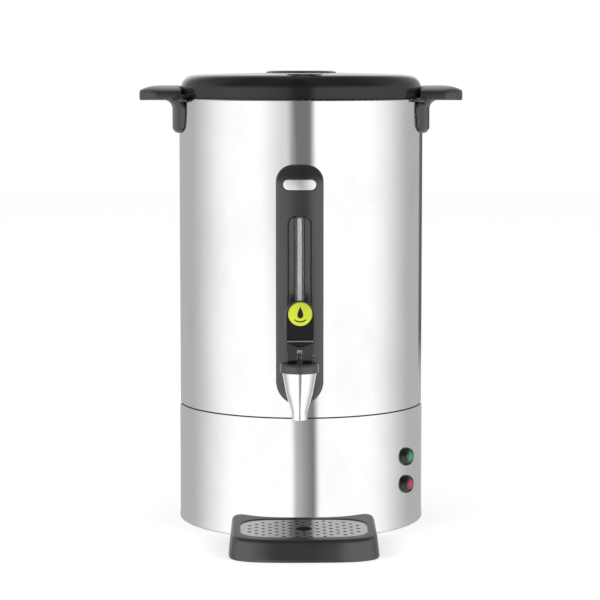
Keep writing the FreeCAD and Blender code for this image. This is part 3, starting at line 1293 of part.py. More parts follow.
def grid():
    """A pressed sheet with staggered drain holes and a large hole under the spout."""
    sheet = slab("grid_sheet", "XY_Plane", "running_gap - grid_sunk - grid_wall", "grid_wall", grid_loop("0"))
    doc.recompute()
    middle = (size("grid_back") + size("grid_front")) / 2
    border, hole = size("grid_border"), size("grid_hole")
    pitch, row = size("grid_column_pitch"), size("grid_row_pitch")
    corner = size("grid_corner") - border
    wide, deep = size("grid_half_width") - border, (size("grid_front") - size("grid_back")) / 2 - border
    low = size("-grid_sunk - grid_wall") - 1
    prisms = []
    columns, rows = int(wide / pitch), int(deep / row) + 1
    for column in range(-columns, columns + 1):
        for step in range(-2 * rows, 2 * rows + 1):
            if (column + step) % 2:
                continue
            x, y = column * pitch, step * row / 2
            past = math.hypot(max(abs(x) - wide + corner, 0), max(abs(y) - deep + corner, 0))
            inside = abs(x) <= wide and abs(y) <= deep and past <= corner
            from_drain = math.hypot(x, y - middle + size("grid_drain_reach"))
            if inside and from_drain > size("grid_drain") + 2 * hole:
                prisms.append(prism(x, y - middle, low, hole, 8))
    prisms.append(prism(0, -size("grid_drain_reach"), low, size("grid_drain"), 24))
    holed = doc.addObject("Part::Feature", "grid_holed")
    holed.Shape = sheet.Shape.cut(Part.makeCompound(prisms))
    return holed


def prism(x, y, low, radius, sides):
    """An upright prism that stands in for a round hole."""
    turn = 2 * math.pi / sides
    ring = [Vector(x + radius * math.cos((i + 0.5) * turn), y + radius * math.sin((i + 0.5) * turn), low)
            for i in range(sides)]
    return Part.Face(Part.makePolygon(ring + ring[:1])).extrude(Vector(0, 0, size("grid_wall") + 2))


def check_and_write():
    doc.recompute()
    faults = [each.Name for each in doc.Objects if "Invalid" in each.State or "Error" in each.State]
    if faults:
        raise RuntimeError("failed objects: " + ", ".join(faults))
    faults = [each.Label for each in NODES
              if each.Shape.isNull() or not each.Shape.isValid() or not each.Shape.Solids]
    if faults:
        raise RuntimeError("no valid shape: " + ", ".join(faults))
    os.makedirs("parts", exist_ok=True)
    for piece in NODES:
        piece.Shape.exportStep(f"parts/{piece.Label}.step")
        print(f"{piece.Label}: {len(piece.Shape.Solids)} solids, {piece.Shape.Volume / 1000:.2f} cm3")


tank()
base()
feet()
lid()
handle("handle_r", "handle_right", "0")
handle("handle_l", "handle_left", "180")
handle_screws()
gauge_cover()
gauge()
tap_body()
tap_fixing()
bonnet()
valve()
lever()
lamps()
panel()
heating()
percolator()
tray()
check_and_write()
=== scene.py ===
import json
import math

import bmesh
import bpy
import numpy as np
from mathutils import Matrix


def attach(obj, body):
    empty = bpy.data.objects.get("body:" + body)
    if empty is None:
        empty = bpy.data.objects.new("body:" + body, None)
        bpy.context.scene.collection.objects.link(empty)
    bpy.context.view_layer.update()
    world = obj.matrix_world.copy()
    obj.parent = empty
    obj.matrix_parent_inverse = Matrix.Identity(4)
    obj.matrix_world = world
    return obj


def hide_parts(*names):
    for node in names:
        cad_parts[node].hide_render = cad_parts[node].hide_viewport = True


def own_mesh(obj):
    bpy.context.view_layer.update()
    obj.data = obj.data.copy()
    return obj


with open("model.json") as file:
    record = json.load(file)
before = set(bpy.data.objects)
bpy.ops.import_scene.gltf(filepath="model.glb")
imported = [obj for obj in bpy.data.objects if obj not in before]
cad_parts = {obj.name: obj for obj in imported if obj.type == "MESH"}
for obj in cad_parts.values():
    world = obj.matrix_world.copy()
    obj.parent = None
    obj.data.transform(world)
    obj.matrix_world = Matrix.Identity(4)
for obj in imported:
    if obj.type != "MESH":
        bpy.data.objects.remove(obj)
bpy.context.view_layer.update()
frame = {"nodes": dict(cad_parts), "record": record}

NODES = frame["nodes"]


# Node trees

class Sheet:
    """A node tree to which nodes are added by kind; inputs take numbers, colours or sockets."""

    def __init__(self, tree):
        self.tree = tree

    def add(self, kind, *values, **settings):
        """A node with its settings, and its inputs in order; a value of None leaves the input alone."""
        node = self.tree.nodes.new(kind)
        for name, value in settings.items():
            setattr(node, name, value)
        for socket, value in zip(node.inputs, values):
            self.feed(socket, value)
        return node

    def feed(self, socket, value):
        """Links a socket to an input, or sets the input to a plain value."""
        if isinstance(value, bpy.types.NodeSocket):
            self.tree.links.new(value, socket)
        elif value is not None:
            socket.default_value = value

    def math(self, operation, *values, clamp=False):
        """One step of arithmetic on numbers or sockets."""
        return self.add("ShaderNodeMath", *values, operation=operation, use_clamp=clamp).outputs[0]

    def times(self, first, second):
        """The first value times the second."""
        return self.math("MULTIPLY", first, second)

    def rest(self, value):
        """What a value leaves of one."""
        return self.math("SUBTRACT", 1.0, value)

    def smooth(self, value, low, high, out_low=0.0, out_high=1.0):
        """A value that goes from out_low to out_high in an S-curve as the input goes from low to high."""
        return self.add("ShaderNodeMapRange", value, low, high, out_low, out_high,
                        interpolation_type="SMOOTHSTEP").outputs[0]

    def blend(self, share, first, second):
        """A colour between two colours."""
        node = self.add("ShaderNodeMix", data_type="RGBA")
        for index, value in ((0, share), (6, first), (7, second)):
            self.feed(node.inputs[index], value)
        return node.outputs[2]

    def place(self, *scale):
        """Object coordinates, scaled along each axis."""
        spot = self.add("ShaderNodeTexCoord").outputs["Object"]
        return self.add("ShaderNodeMapping", spot, None, None, scale).outputs[0]

    def noise(self, spot, scale, detail, roughness=0.5):
        """Noise at places given by a socket; its scale may be a socket too."""
        node = self.add("ShaderNodeTexNoise", spot)
        for name, value in (("Scale", scale), ("Detail", detail), ("Roughness", roughness)):
            self.feed(node.inputs[name], value)
        return node.outputs["Fac"]


def shared_effect(name, inputs, outputs):
    """An empty node group with named number inputs and outputs."""
    tree = bpy.data.node_groups.new(name, "ShaderNodeTree")
    for label, value in inputs:
        tree.interface.new_socket(label, in_out="INPUT", socket_type="NodeSocketFloat").default_value = value
    for label in outputs:
        tree.interface.new_socket(label, in_out="OUTPUT", socket_type="NodeSocketFloat")
    sheet = Sheet(tree)
    given = sheet.add("NodeGroupInput").outputs
    result = sheet.add("NodeGroupOutput").inputs
    return tree, sheet, given, result


def polishing_lines():
    """Very fine lines round the axis: noise squeezed along Z, and a slow cloudiness for fingerprints."""
    tree, sheet, given, result = shared_effect(
        "polishing_lines", [("Fineness", 1.0), ("Depth", 1.0)], ["Height", "Cloud"])
    lines = sheet.noise(sheet.place(6.0, 6.0, 900.0), 1.0, 3.0, 0.6)
    sheet.feed(result["Height"], sheet.times(sheet.math("SUBTRACT", lines, 0.5), given["Depth"]))
    cloud = sheet.noise(sheet.place(1.0, 1.0, 0.6), 22.0, 4.0, 0.6)
    sheet.feed(result["Cloud"], sheet.times(sheet.smooth(cloud, 0.42, 0.75), given["Fineness"]))
    return tree


def moulded_skin():
    """The fine spark-eroded grain of a moulding: close noise for the height and a wide one for the sheen."""
    tree, sheet, given, result = shared_effect(
        "moulded_skin", [("Grain", 2600.0), ("Depth", 1.0)], ["Height", "Sheen"])
    spot = sheet.place(1.0, 1.0, 1.0)
    fine = sheet.noise(spot, given["Grain"], 1.0)
    sheet.feed(result["Height"], sheet.times(fine, given["Depth"]))
    sheet.feed(result["Sheen"], sheet.noise(spot, 35.0, 5.0, 0.55))
    return tree


POLISH = polishing_lines()
SKIN = moulded_skin()


def finish(name, colour, roughness, **sockets):
    """A material with one Principled shader; sockets are its other plain values."""
    material = bpy.data.materials.new(name)
    material.use_nodes = True
    sheet = Sheet(material.node_tree)
    shader = material.node_tree.nodes["Principled BSDF"]
    sheet.feed(shader.inputs["Base Color"], (*colour, 1.0))
    sheet.feed(shader.inputs["Roughness"], roughness)
    for label, value in sockets.items():
        shader.inputs[label.replace("_", " ")].default_value = value
    return material, sheet, shader


def bump(sheet, shader, height, strength, distance, rounding=0.0):
    """A bump in the shader's normal, on edges softened to a rounding."""
    node = sheet.add("ShaderNodeBump", strength, distance)
    sheet.feed(node.inputs["Height"], height)
    if rounding:
        sheet.feed(node.inputs["Normal"], sheet.add("ShaderNodeBevel", rounding, samples=6).outputs[0])
    sheet.feed(shader.inputs["Normal"], node.outputs[0])


def effect(sheet, tree, **values):
    """A shared effect placed in a material with its own values; gives its outputs."""
    node = sheet.add("ShaderNodeGroup", node_tree=tree)
    for label, value in values.items():
        sheet.feed(node.inputs[label], value)
    return node.outputs


def uneven_gloss(sheet, shader, sheen, share, roughness):
    """A roughness that wanders about its plain value with the sheen."""
    around = sheet.math("SUBTRACT", sheen, 0.5)
    sheet.feed(shader.inputs["Roughness"], sheet.math("MULTIPLY_ADD", around, share, roughness))


def metal(name, colour, roughness, lines=0.0, cloud=0.03):
    """Bare metal: polishing lines in its height and cloudiness in its roughness and tone."""
    material, sheet, shader = finish(name, colour, roughness, Metallic=1.0)
    polish = effect(sheet, POLISH, Depth=1.0)
    darker = tuple(0.94 * part for part in colour)
    sheet.feed(shader.inputs["Base Color"], sheet.blend(polish["Cloud"], (*colour, 1.0), (*darker, 1.0)))
    sheet.feed(shader.inputs["Roughness"], sheet.math("MULTIPLY_ADD", polish["Cloud"], cloud, roughness))
    if lines:
        bump(sheet, shader, polish["Height"], lines, 0.00002)
    return material


def moulding(name, colour, roughness, grain=0.25, coarse=2600.0, rounding=0.0, **sockets):
    """Moulded plastic or rubber: fine grain in its height, uneven sheen in its roughness and tone."""
    material, sheet, shader = finish(name, colour, roughness, **sockets)
    skin = effect(sheet, SKIN, Grain=coarse)
    lighter = tuple(min(1.0, 1.25 * part) for part in colour)
    sheet.feed(shader.inputs["Base Color"],
               sheet.blend(sheet.smooth(skin["Sheen"], 0.35, 0.7), (*colour, 1.0), (*lighter, 1.0)))
    uneven_gloss(sheet, shader, skin["Sheen"], 0.12, roughness)
    if grain or rounding:
        bump(sheet, shader, skin["Height"], grain, 0.00004, rounding)
    return material


def clear(name, colour, roughness, ior, **sockets):
    """Clear or coloured see-through plastic or glass, with a faint unevenness in its gloss."""
    material, sheet, shader = finish(name, colour, roughness, Transmission_Weight=1.0, IOR=ior, **sockets)
    skin = effect(sheet, SKIN, Grain=900.0)
    uneven_gloss(sheet, shader, skin["Sheen"], 0.02, roughness)
    return material


def lens(name, colour):
    """Tinted lens whose colour darkens towards the rim as a painted shade, by the distance kept on the piece.
    """
    material, sheet, shader = finish(name, colour, 0.10)
    reach = sheet.add("ShaderNodeAttribute", attribute_name="reach").outputs["Fac"]
    # Painted shade: the colour darkens towards the lens's rim.
    dark = tuple(0.30 * part for part in colour)
    sheet.feed(shader.inputs["Base Color"],
               sheet.blend(sheet.smooth(reach, 0.45, 1.0), (*colour, 1.0), (*dark, 1.0)))
    return material


FINISHES = {
    "polished_steel": metal("polished_steel", (0.90, 0.90, 0.905), 0.07),
    "inner_steel": metal("inner_steel", (0.62, 0.62, 0.63), 0.34, lines=0.3),
    "fastener_steel": metal("fastener_steel", (0.66, 0.66, 0.67), 0.22),
    "grid_steel": metal("grid_steel", (0.95, 0.95, 0.955), 0.10),
    "chrome_plate": metal("chrome_plate", (0.93, 0.93, 0.935), 0.04),
    "badge_metal": metal("badge_metal", (0.97, 0.97, 0.97), 0.33),
    "spreader_aluminium": metal("spreader_aluminium", (0.72, 0.72, 0.73), 0.4, lines=0.3),
    "inlet_brass": metal("inlet_brass", (0.72, 0.68, 0.55), 0.25),
    "black_moulding": moulding("black_moulding", (0.020, 0.020, 0.021), 0.22, grain=0.1, rounding=0.0007,
                               IOR=1.85),
    "black_gloss": moulding("black_gloss", (0.012, 0.012, 0.013), 0.12, grain=0.0, IOR=1.55),
    "lime_disc": moulding("lime_disc", (0.68, 0.76, 0.045), 0.25, grain=0.0),
    "clear_tube": clear("clear_tube", (1.0, 1.0, 1.0), 0.01, 1.45),
    "green_lens": lens("green_lens", (0.045, 0.33, 0.16)),
    "red_lens": lens("red_lens", (0.50, 0.055, 0.11)),
    "seal_rubber": moulding("seal_rubber", (0.42, 0.42, 0.42), 0.55, grain=0.4),
    "foot_rubber": moulding("foot_rubber", (0.025, 0.025, 0.025), 0.7, grain=0.5, coarse=1800.0),
    "control_plastic": moulding("control_plastic", (0.14, 0.13, 0.12), 0.45),
    "terminal_plastic": moulding("terminal_plastic", (0.70, 0.68, 0.62), 0.45),
}

HANDLE_FINISH = moulding("handle_moulding", (0.026, 0.026, 0.027), 0.26, grain=0.0, IOR=1.7)
LID_FINISH = moulding("lid_moulding", (0.010, 0.010, 0.0105), 0.15, grain=0.05, rounding=0.0004, IOR=1.5)
# A painted shade: the ring in the seam between tank and base is drawn dark where the groove lies in shade.
SEAM_PAINTED_SHADE = moulding("seam_shade", (0.03, 0.03, 0.03), 0.5)
BONNET_FINISH = moulding("bonnet_moulding", (0.045, 0.045, 0.046), 0.30, grain=0.1, rounding=0.0006, IOR=1.7)
# Dark gloss of the lever's inlay; the same material is the painted shade under the ledge.
INLAY_FINISH_AND_LEDGE_SHADE = moulding("inlay_gloss", (0.006, 0.006, 0.006), 0.35, grain=0.1, IOR=1.36)
TRIM_FINISH = metal("lever_trim", (0.42, 0.42, 0.425), 0.35)
STEM_FINISH = metal("stem_steel", (0.30, 0.30, 0.305), 0.30)
# A painted shade: dark, rough and dull, for the tray's pan and the drain holes' walls where they lie in
# shade.
PAINTED_HOLE_SHADE = moulding("hole_shade", (0.012, 0.012, 0.012), 0.6, IOR=1.3)
OWN_FINISHES = {"lid": LID_FINISH, "lid_centre_cap": LID_FINISH, "base_ring": SEAM_PAINTED_SHADE,
                "tap_bonnet": BONNET_FINISH, "valve_stem": STEM_FINISH}


def dress_nodes():
    """Each CAD node takes the finish of its slot in the record, or its own."""
    for row in frame["record"]["subparts"]:
        piece = NODES[row["node"]]
        for slot in piece.material_slots:
            slot.material = OWN_FINISHES.get(row["node"], FINISHES[row["material_slot"]])


dress_nodes()


# Surfaces

MM = 0.001
SAME_POINT = 0.000002


def points_of(*axes):
    """Points from their distances along each axis; an axis may be one number, or one for each row."""
    return np.stack(np.broadcast_arrays(*axes), axis=-1)


def merge(mesh, mark=None):
    """Merges the mesh's doubles and turns its faces outwards; mark gives each face its material's number."""
    work = bmesh.new()
    work.from_mesh(mesh)
    bmesh.ops.remove_doubles(work, verts=work.verts, dist=SAME_POINT)
    bmesh.ops.recalc_face_normals(work, faces=work.faces)
    if mark:
        for face in work.faces:
            face.material_index = mark(face)
    work.to_mesh(mesh)
    work.free()


def shown(name, mesh):
    """A mesh's object, put in the scene."""
    piece = bpy.data.objects.new(name, mesh)
    bpy.context.scene.collection.objects.link(piece)
    return piece


def build(name, points, body, finish_name, stands_for=(), wrap=True, material=None, crease=35.0):
    """A piece from a grid of points, one row a ring; wrap joins the ends of the rings. Doubles are merged."""
    rings, count = points.shape[:2]
    index = np.arange(rings * count).reshape(rings, count)
    ahead = np.roll(index, -1, axis=1) if wrap else index[:, 1:]
    here = index if wrap else index[:, :-1]
    faces = np.stack((here[:-1], ahead[:-1], ahead[1:], here[1:]), axis=-1).reshape(-1, 4)
    mesh = bpy.data.meshes.new(name)
    mesh.from_pydata(points.reshape(-1, 3) * MM, [], faces)
    merge(mesh)
    mesh.shade_smooth()
    mesh.set_sharp_from_angle(angle=math.radians(crease))
    mesh.materials.append(material or FINISHES[finish_name])
    piece = shown(name, mesh)
    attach(piece, body)
    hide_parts(*stands_for)
    return piece


def full_turn(count):
    """Angles once round, evenly spaced, without the last, which is the first again."""
    return np.linspace(0.0, 2.0 * math.pi, count, endpoint=False)


def quarter(count):
    """Angles from level to upright."""
    return np.radians(np.linspace(0.0, 90.0, count))


def rising(places, *runs):
    """Several runs of numbers as one rising row, rounded to some places, with none twice."""
    return np.unique(np.round(np.concatenate(runs), places))


def drawn_in(outline, middle, shares):
    """Rings of an outline drawn in to its middle line: middle + share * (outline - middle)."""
    return middle + np.asarray(shares)[:, None, None] * (outline - middle)


def arc(centre, radius, start, end, count):
    """Points of an arc, angles in degrees."""
    turn = np.radians(np.linspace(start, end, count))
    return points_of(centre[0] + radius * np.cos(turn), centre[1] + radius * np.sin(turn))


def smooth_step(value, low, high):
    """An S-curve from 0 at low to 1 at high: the share squared, times 3 less twice the share."""
    share = np.clip((value - low) / (high - low), 0.0, 1.0)
    return share * share * (3.0 - 2.0 * share)


def rounded_box(across, up, half_width, half_height, corner):
    """Distance outside a rectangle with rounded corners, below zero inside it."""
    past_x = np.abs(across) - half_width + corner
    past_z = np.abs(up) - half_height + corner
    outside = np.hypot(np.maximum(past_x, 0.0), np.maximum(past_z, 0.0))
    return outside + np.minimum(np.maximum(past_x, past_z), 0.0) - corner


def turned(profile, centre, count=64):
    """Rings round an upright axis: each corner (radius, height) of the profile goes once round the centre."""
    turn = full_turn(count)
    profile = np.asarray(profile, float)
    radius, height = profile[:, :1], profile[:, 1:]
    return points_of(centre[0] + radius * np.cos(turn), centre[1] + radius * np.sin(turn), height)


# Level gauge, in millimetres

TANK_RADIUS = 115.6
COVER_HALF = 21.5
COVER_LOW = 126.6
COVER_HIGH = 343.3
COVER_CORNER = 15.0
COVER_FRONT = 131.5
COVER_CROWN = 92.0
COVER_EDGE = 2.5
ROLL_LENGTH = 20.0
ROLL_DEEP = 5.0
TUBE_REACH = 124.8
TROUGH_HALF = 11.6
TROUGH_LOW = 166.0
TROUGH_HIGH = 298.4
TROUGH_CORNER = 8.0
TROUGH_BEVEL = 2.6
TROUGH_FLOOR = 0.7
TROUGH_HOLLOW = 0.013
PLATE_HEIGHT = 325.9
PLATE_LENGTH = 30.0
PLATE_WIDTH = 9.5
PLATE_CROWN = 60.0
PLATE_SUNK = 0.5
SEAT_GAP = 0.3
SEAT_DEEP = 1.1
CORE_RADIUS = 2.15
CORE_LOW = 160.0
CORE_HIGH = 296.3
MARK_PITCH = 12.9
PLUG_RADIUS = 4.75
PLUG_LOW = 296.5
PLUG_HIGH = 305.2


def cover_depth(x, z):
    """How far forward the cover's front stands: crowned across and rolled back at the top, less the trough,
    which is hollow across, and the plate's seat."""
    front = COVER_FRONT - x * x / (2.0 * COVER_CROWN)
    roll = np.clip(1.0 - (COVER_HIGH - z) / ROLL_LENGTH, 0.0, 1.0)
    front = front - ROLL_DEEP * roll * roll
    middle, half = (TROUGH_LOW + TROUGH_HIGH) / 2.0, (TROUGH_HIGH - TROUGH_LOW) / 2.0
    trough = rounded_box(x, z - middle, TROUGH_HALF, half, TROUGH_CORNER)
    floor = TUBE_REACH + TROUGH_FLOOR + TROUGH_HOLLOW * x * x
    front = front + (floor - front) * smooth_step(-trough, 0.0, TROUGH_BEVEL)
    half_length, half_width = PLATE_LENGTH / 2.0 + SEAT_GAP, PLATE_WIDTH / 2.0 + SEAT_GAP
    seat = rounded_box(x, z - PLATE_HEIGHT, half_length, half_width, half_width - 0.01)
    return front - SEAT_DEEP * smooth_step(-seat, -0.1, 0.3)


def level_cover():
    """The cover's outline drawn in to its middle line; front, rounded edge, sides and the hollow for the
    tank. Rows and rings are closer at the trough's top, at the plate and along the trough's sides."""
    foot, head = COVER_LOW + COVER_HALF, COVER_HIGH - COVER_CORNER
    rows = rising(3, np.linspace(foot, head, 150), np.arange(290.0, 300.0, 0.45), np.arange(319.0, head, 0.4))
    side = points_of(COVER_HALF, rows)
    flat = COVER_HALF - COVER_CORNER
    right = arc((flat, head), COVER_CORNER, 0, 90, 26)[1:]
    left = arc((-flat, head), COVER_CORNER, 90, 180, 26)
    round_foot = arc((0.0, foot), COVER_HALF, 180, 360, 60)[1:-1]
    outline = np.concatenate((side, right, left, (side * (-1.0, 1.0))[::-1][1:], round_foot))
    middle = points_of(0.0, np.clip(outline[:, 1], foot, head))
    inner = 1.0 - COVER_EDGE / COVER_HALF
    shares = rising(4, np.linspace(0.0, inner, 40), np.linspace(0.42, 0.56, 14))
    bend = quarter(8)[1:]
    drop = np.concatenate((np.zeros(len(shares)), COVER_EDGE * (1.0 - np.cos(bend))))
    shares = np.concatenate((shares, inner + (1.0 - inner) * np.sin(bend)))
    front = drawn_in(outline, middle, shares)
    depth = cover_depth(front[..., 0], front[..., 1]) - drop[:, None]
    steps = np.linspace(0.0, 1.0, 5)[1:, None]
    side_depth = depth[-1] + steps * (np.sqrt(TANK_RADIUS ** 2 - outline[:, 0] ** 2) - depth[-1])
    back = drawn_in(outline, middle, (0.66, 0.33, 0.0))
    back_depth = np.sqrt(TANK_RADIUS ** 2 - back[..., 0] ** 2)
    flat = np.concatenate((front, np.broadcast_to(outline, (len(steps),) + outline.shape), back))
    depths = np.concatenate((depth, side_depth, back_depth))
    build("level_cover", points_of(flat[..., 0], -depths, flat[..., 1]), "urn", "black_moulding",
          ("gauge_cover",))


def bare_plate():
    """The bright plate near the cover's top: long with round ends, plain, and crowned both ways."""
    end = PLATE_WIDTH / 2.0
    reach = PLATE_LENGTH / 2.0 - end
    straight = np.linspace(-reach, reach, 30)
    right = arc((reach, 0.0), end, 90, -90, 24)[1:-1]
    left = arc((-reach, 0.0), end, 270, 90, 24)[1:-1]
    outline = np.concatenate((points_of(straight, end), right, points_of(straight[::-1], -end), left))
    middle = points_of(np.clip(outline[:, 0], -reach, reach), 0.0)
    crown = np.linspace(0.0, 0.9, 10)
    flat = drawn_in(outline, middle, np.concatenate((crown, (0.95, 0.985, 1.0, 1.0, 0.0))))
    stand = np.concatenate((0.75 - 0.15 * crown ** 2, (0.58, 0.5, 0.35, -0.9, -0.9)))
    depth = COVER_FRONT - PLATE_SUNK - flat[..., 0] ** 2 / (2.0 * PLATE_CROWN) + stand[:, None]
    build("bare_plate", points_of(flat[..., 0], -depth, flat[..., 1] + PLATE_HEIGHT), "urn", "badge_metal",
          ("blank_badge",))


def gauge_inside():
    """White core rod with a round end inside the tube, and the black plug above it."""
    cap = quarter(8)
    end = points_of(CORE_RADIUS * np.cos(cap), CORE_HIGH - CORE_RADIUS + CORE_RADIUS * np.sin(cap))
    profile = np.concatenate(([(0.0, CORE_LOW), (CORE_RADIUS, CORE_LOW)], end))
    build("gauge_core", turned(profile, (0.0, -TUBE_REACH), 32), "urn", "seal_rubber", material=core_finish())
    plug = [(0.0, PLUG_LOW), (PLUG_RADIUS - 0.45, PLUG_LOW), (PLUG_RADIUS, PLUG_LOW + 0.4),
            (PLUG_RADIUS, PLUG_HIGH), (0.0, PLUG_HIGH)]
    build("gauge_plug", turned(plug, (0.0, -TUBE_REACH), 40), "urn", "black_moulding", ("gauge_top_plug",))


def core_finish():
    """White rod with a brighter ring at each mark, found from the height."""
    material, sheet, shader = finish("core_white", (0.80, 0.80, 0.80), 0.5)
    spot = sheet.add("ShaderNodeTexCoord").outputs["Object"]
    height = sheet.add("ShaderNodeSeparateXYZ", spot).outputs["Z"]
    share = sheet.math("FRACT", sheet.math("MULTIPLY_ADD", height, 1.0 / (MARK_PITCH * MM), 0.27))
    mark = sheet.math("LESS_THAN", share, 0.07)
    sheet.feed(shader.inputs["Base Color"], sheet.blend(mark, (0.92, 0.92, 0.92, 1.0), (1.0, 1.0, 1.0, 1.0)))
    return material


# Lever, in millimetres

TAP_REACH = 152.0
LEVER_TURNED = math.radians(4.5)
DISC_PLACE = np.array((0.0, -161.747, 212.5))
DISC_LEAN = math.atan(2.6 / 37.5)
DISC_RISE = 0.5
PRINT_LIFT = 0.1
INLAY_HALF = 11.75
INLAY_LOW = -23.2
INLAY_STAND = 0.12
INLAY_BACK = 0.02
BAR_HALF = 11.9
BAR_HEIGHT = -23.9
LEDGE_SHADE_HALF = 10.6
LEDGE_SHADE_HIGH = -24.8
LEDGE_SHADE_DEEP = 3.9


def on_disc(across, up, out):
    """Points given in the disc's own plane, put on the leaning and turned lever."""
    y = DISC_PLACE[1] - out * math.cos(DISC_LEAN) - up * math.sin(DISC_LEAN) + TAP_REACH
    z = DISC_PLACE[2] - out * math.sin(DISC_LEAN) + up * math.cos(DISC_LEAN)
    cos, sin = math.cos(LEVER_TURNED), math.sin(LEVER_TURNED)
    return points_of(across * cos - y * sin, across * sin + y * cos - TAP_REACH, z)


def disc_crown(radius):
    """How far the disc's face stands out at a radius."""
    return 1.0 - 0.003 * radius * radius


def lever_button():
    """The coloured disc: a low crown, then a groove and a rounded rim (radius, out), turned round."""
    crown = np.linspace(0.0, 9.6, 14)
    rim = np.array(((9.75, 0.62), (9.85, 0.5), (9.95, 0.62), (10.15, 0.95), (10.45, 1.0), (10.65, 0.85),
                    (10.7, 0.6), (10.7, 0.02), (0.0, 0.02)))
    radius = np.concatenate((crown, rim[:, 0]))[:, None]
    out = np.concatenate((disc_crown(crown), rim[:, 1]))[:, None]
    turn = full_turn(96)
    points = on_disc(radius * np.cos(turn), DISC_RISE + radius * np.sin(turn), out)
    build("lever_button", points, "lever", "lime_disc", ("lever_disc",))


def printed(name, across, up, lift, wrap):
    """A dark print that follows the disc's crown, a little above it and closed a little below it."""
    out = disc_crown(np.hypot(across, up)) + PRINT_LIFT * np.array(lift)[:, None]
    build(name, on_disc(across, DISC_RISE + up, out), "lever", "black_gloss", wrap=wrap)


def disc_print():
    """A plain drop, pointed at the top, over a bowed stroke with round ends."""
    turn = full_turn(72)
    x, z = 3.7 * np.sin(turn) * np.sin(turn / 2.0) ** 1.5, 1.6 + 5.4 * np.cos(turn)
    shares = np.array((0.0, 0.5, 1.0, 1.0, 0.5, 0.0))[:, None]
    printed("disc_drop", shares * x, 0.2 + shares * (z - 0.2), (1.0, 1.0, 1.0, -1.0, -1.0, -1.0), True)
    run = np.linspace(-1.0, 1.0, 49)
    side = np.array((-1.0, 1.0, 1.0, -1.0, -1.0))[:, None]
    reach = 7.3 + side * 0.55 * np.sqrt(np.clip(1.0 - run ** 8, 0.0, 1.0))
    bow = np.radians(-90.0 + 46.0 * run)
    printed("disc_stroke", reach * np.cos(bow), reach * np.sin(bow) + 0.4, (1.0, 1.0, -1.0, -1.0, 1.0), False)


def lever_inlay():
    """Dark sheet in the lever's recess: straight sides, round over the top, drawn in to its middle line."""
    side = np.linspace(INLAY_LOW + 1.0, 0.0, 30)
    foot = np.linspace(-INLAY_HALF + 1.0, INLAY_HALF - 1.0, 20)
    over = arc((0.0, 0.0), INLAY_HALF, 0, 180, 40)[1:-1]
    outline = np.concatenate((points_of(INLAY_HALF, side), over, points_of(-INLAY_HALF, side[::-1]),
                              points_of(foot, INLAY_LOW)))
    middle = points_of(0.0, np.clip(outline[:, 1], INLAY_LOW + INLAY_HALF, 0.0))
    flat = drawn_in(outline, middle, (0.0, 0.5, 1.0, 1.0, 0.0))
    out = np.array((INLAY_STAND, INLAY_STAND, INLAY_STAND, INLAY_BACK, INLAY_BACK))[:, None]
    build("lever_inlay", on_disc(flat[..., 0], flat[..., 1], out), "lever", "black_gloss",
          material=INLAY_FINISH_AND_LEDGE_SHADE)


def lever_trim():
    """A slim half-round bar on the lever's ledge, and a dark sheet of painted shade under it: a line above, a
    bow below.
    """
    across = np.linspace(-BAR_HALF, BAR_HALF, 40)
    bend = np.radians(np.linspace(0.0, 360.0, 17))[:-1, None]
    pinch = np.sqrt(np.clip(1.0 - (across / BAR_HALF) ** 30, 0.0, 1.0))
    bar = on_disc(across, BAR_HEIGHT + 0.75 * np.sin(bend) * pinch, 0.95 + 0.45 * np.cos(bend) * pinch)
    build("lever_bar", bar.transpose(1, 0, 2), "lever", "chrome_plate", material=TRIM_FINISH)
    # Painted shade: a dark sheet where the hollow under the ledge lies in shade.
    width = np.linspace(-LEDGE_SHADE_HALF, LEDGE_SHADE_HALF, 40)
    deep = LEDGE_SHADE_DEEP * np.sqrt(np.clip(1.0 - (width / (LEDGE_SHADE_HALF + 0.1)) ** 2, 0.0, 1.0))
    row = np.array((0.0, 1.0, 1.0, 0.0, 0.0))[:, None]
    lift = np.array((1.05, 1.05, 0.95, 0.95, 1.05))[:, None]
    scoop = on_disc(width, LEDGE_SHADE_HIGH - row * deep, lift)
    build("lever_scoop", scoop, "lever", "black_gloss", wrap=False, material=INLAY_FINISH_AND_LEDGE_SHADE)


# Valve spring, in millimetres

COIL_LOW = 150.35
COIL_HIGH = 163.6
COIL_RADIUS = 6.4
COIL_WIRE = 0.5
COIL_TURNS = 5.0


def valve_coil():
    """Round wire wound evenly with closed ends. The spring shortens towards the bonnet as the valve lifts;
    this piece is made at one length.
    """
    share = np.concatenate(((0.0,), np.linspace(0.0, 1.0, 151), (1.0,)))[:, None]
    wire = COIL_WIRE * np.ones(share.shape)
    wire[0] = wire[-1] = 0.0
    ring = full_turn(10)
    radius = COIL_RADIUS + wire * np.cos(ring)
    rise = (COIL_HIGH - COIL_LOW - 2.0 * COIL_WIRE) * share
    turn = 2.0 * math.pi * COIL_TURNS * share
    points = points_of(radius * np.cos(turn), radius * np.sin(turn) - TAP_REACH,
                       COIL_LOW + COIL_WIRE + rise + wire * np.sin(ring))
    coil = build("valve_coil", points, "urn", "fastener_steel", ("valve_spring",))
    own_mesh(coil)


# Handles, in millimetres: made on the +X side, the left one is the same piece turned half round

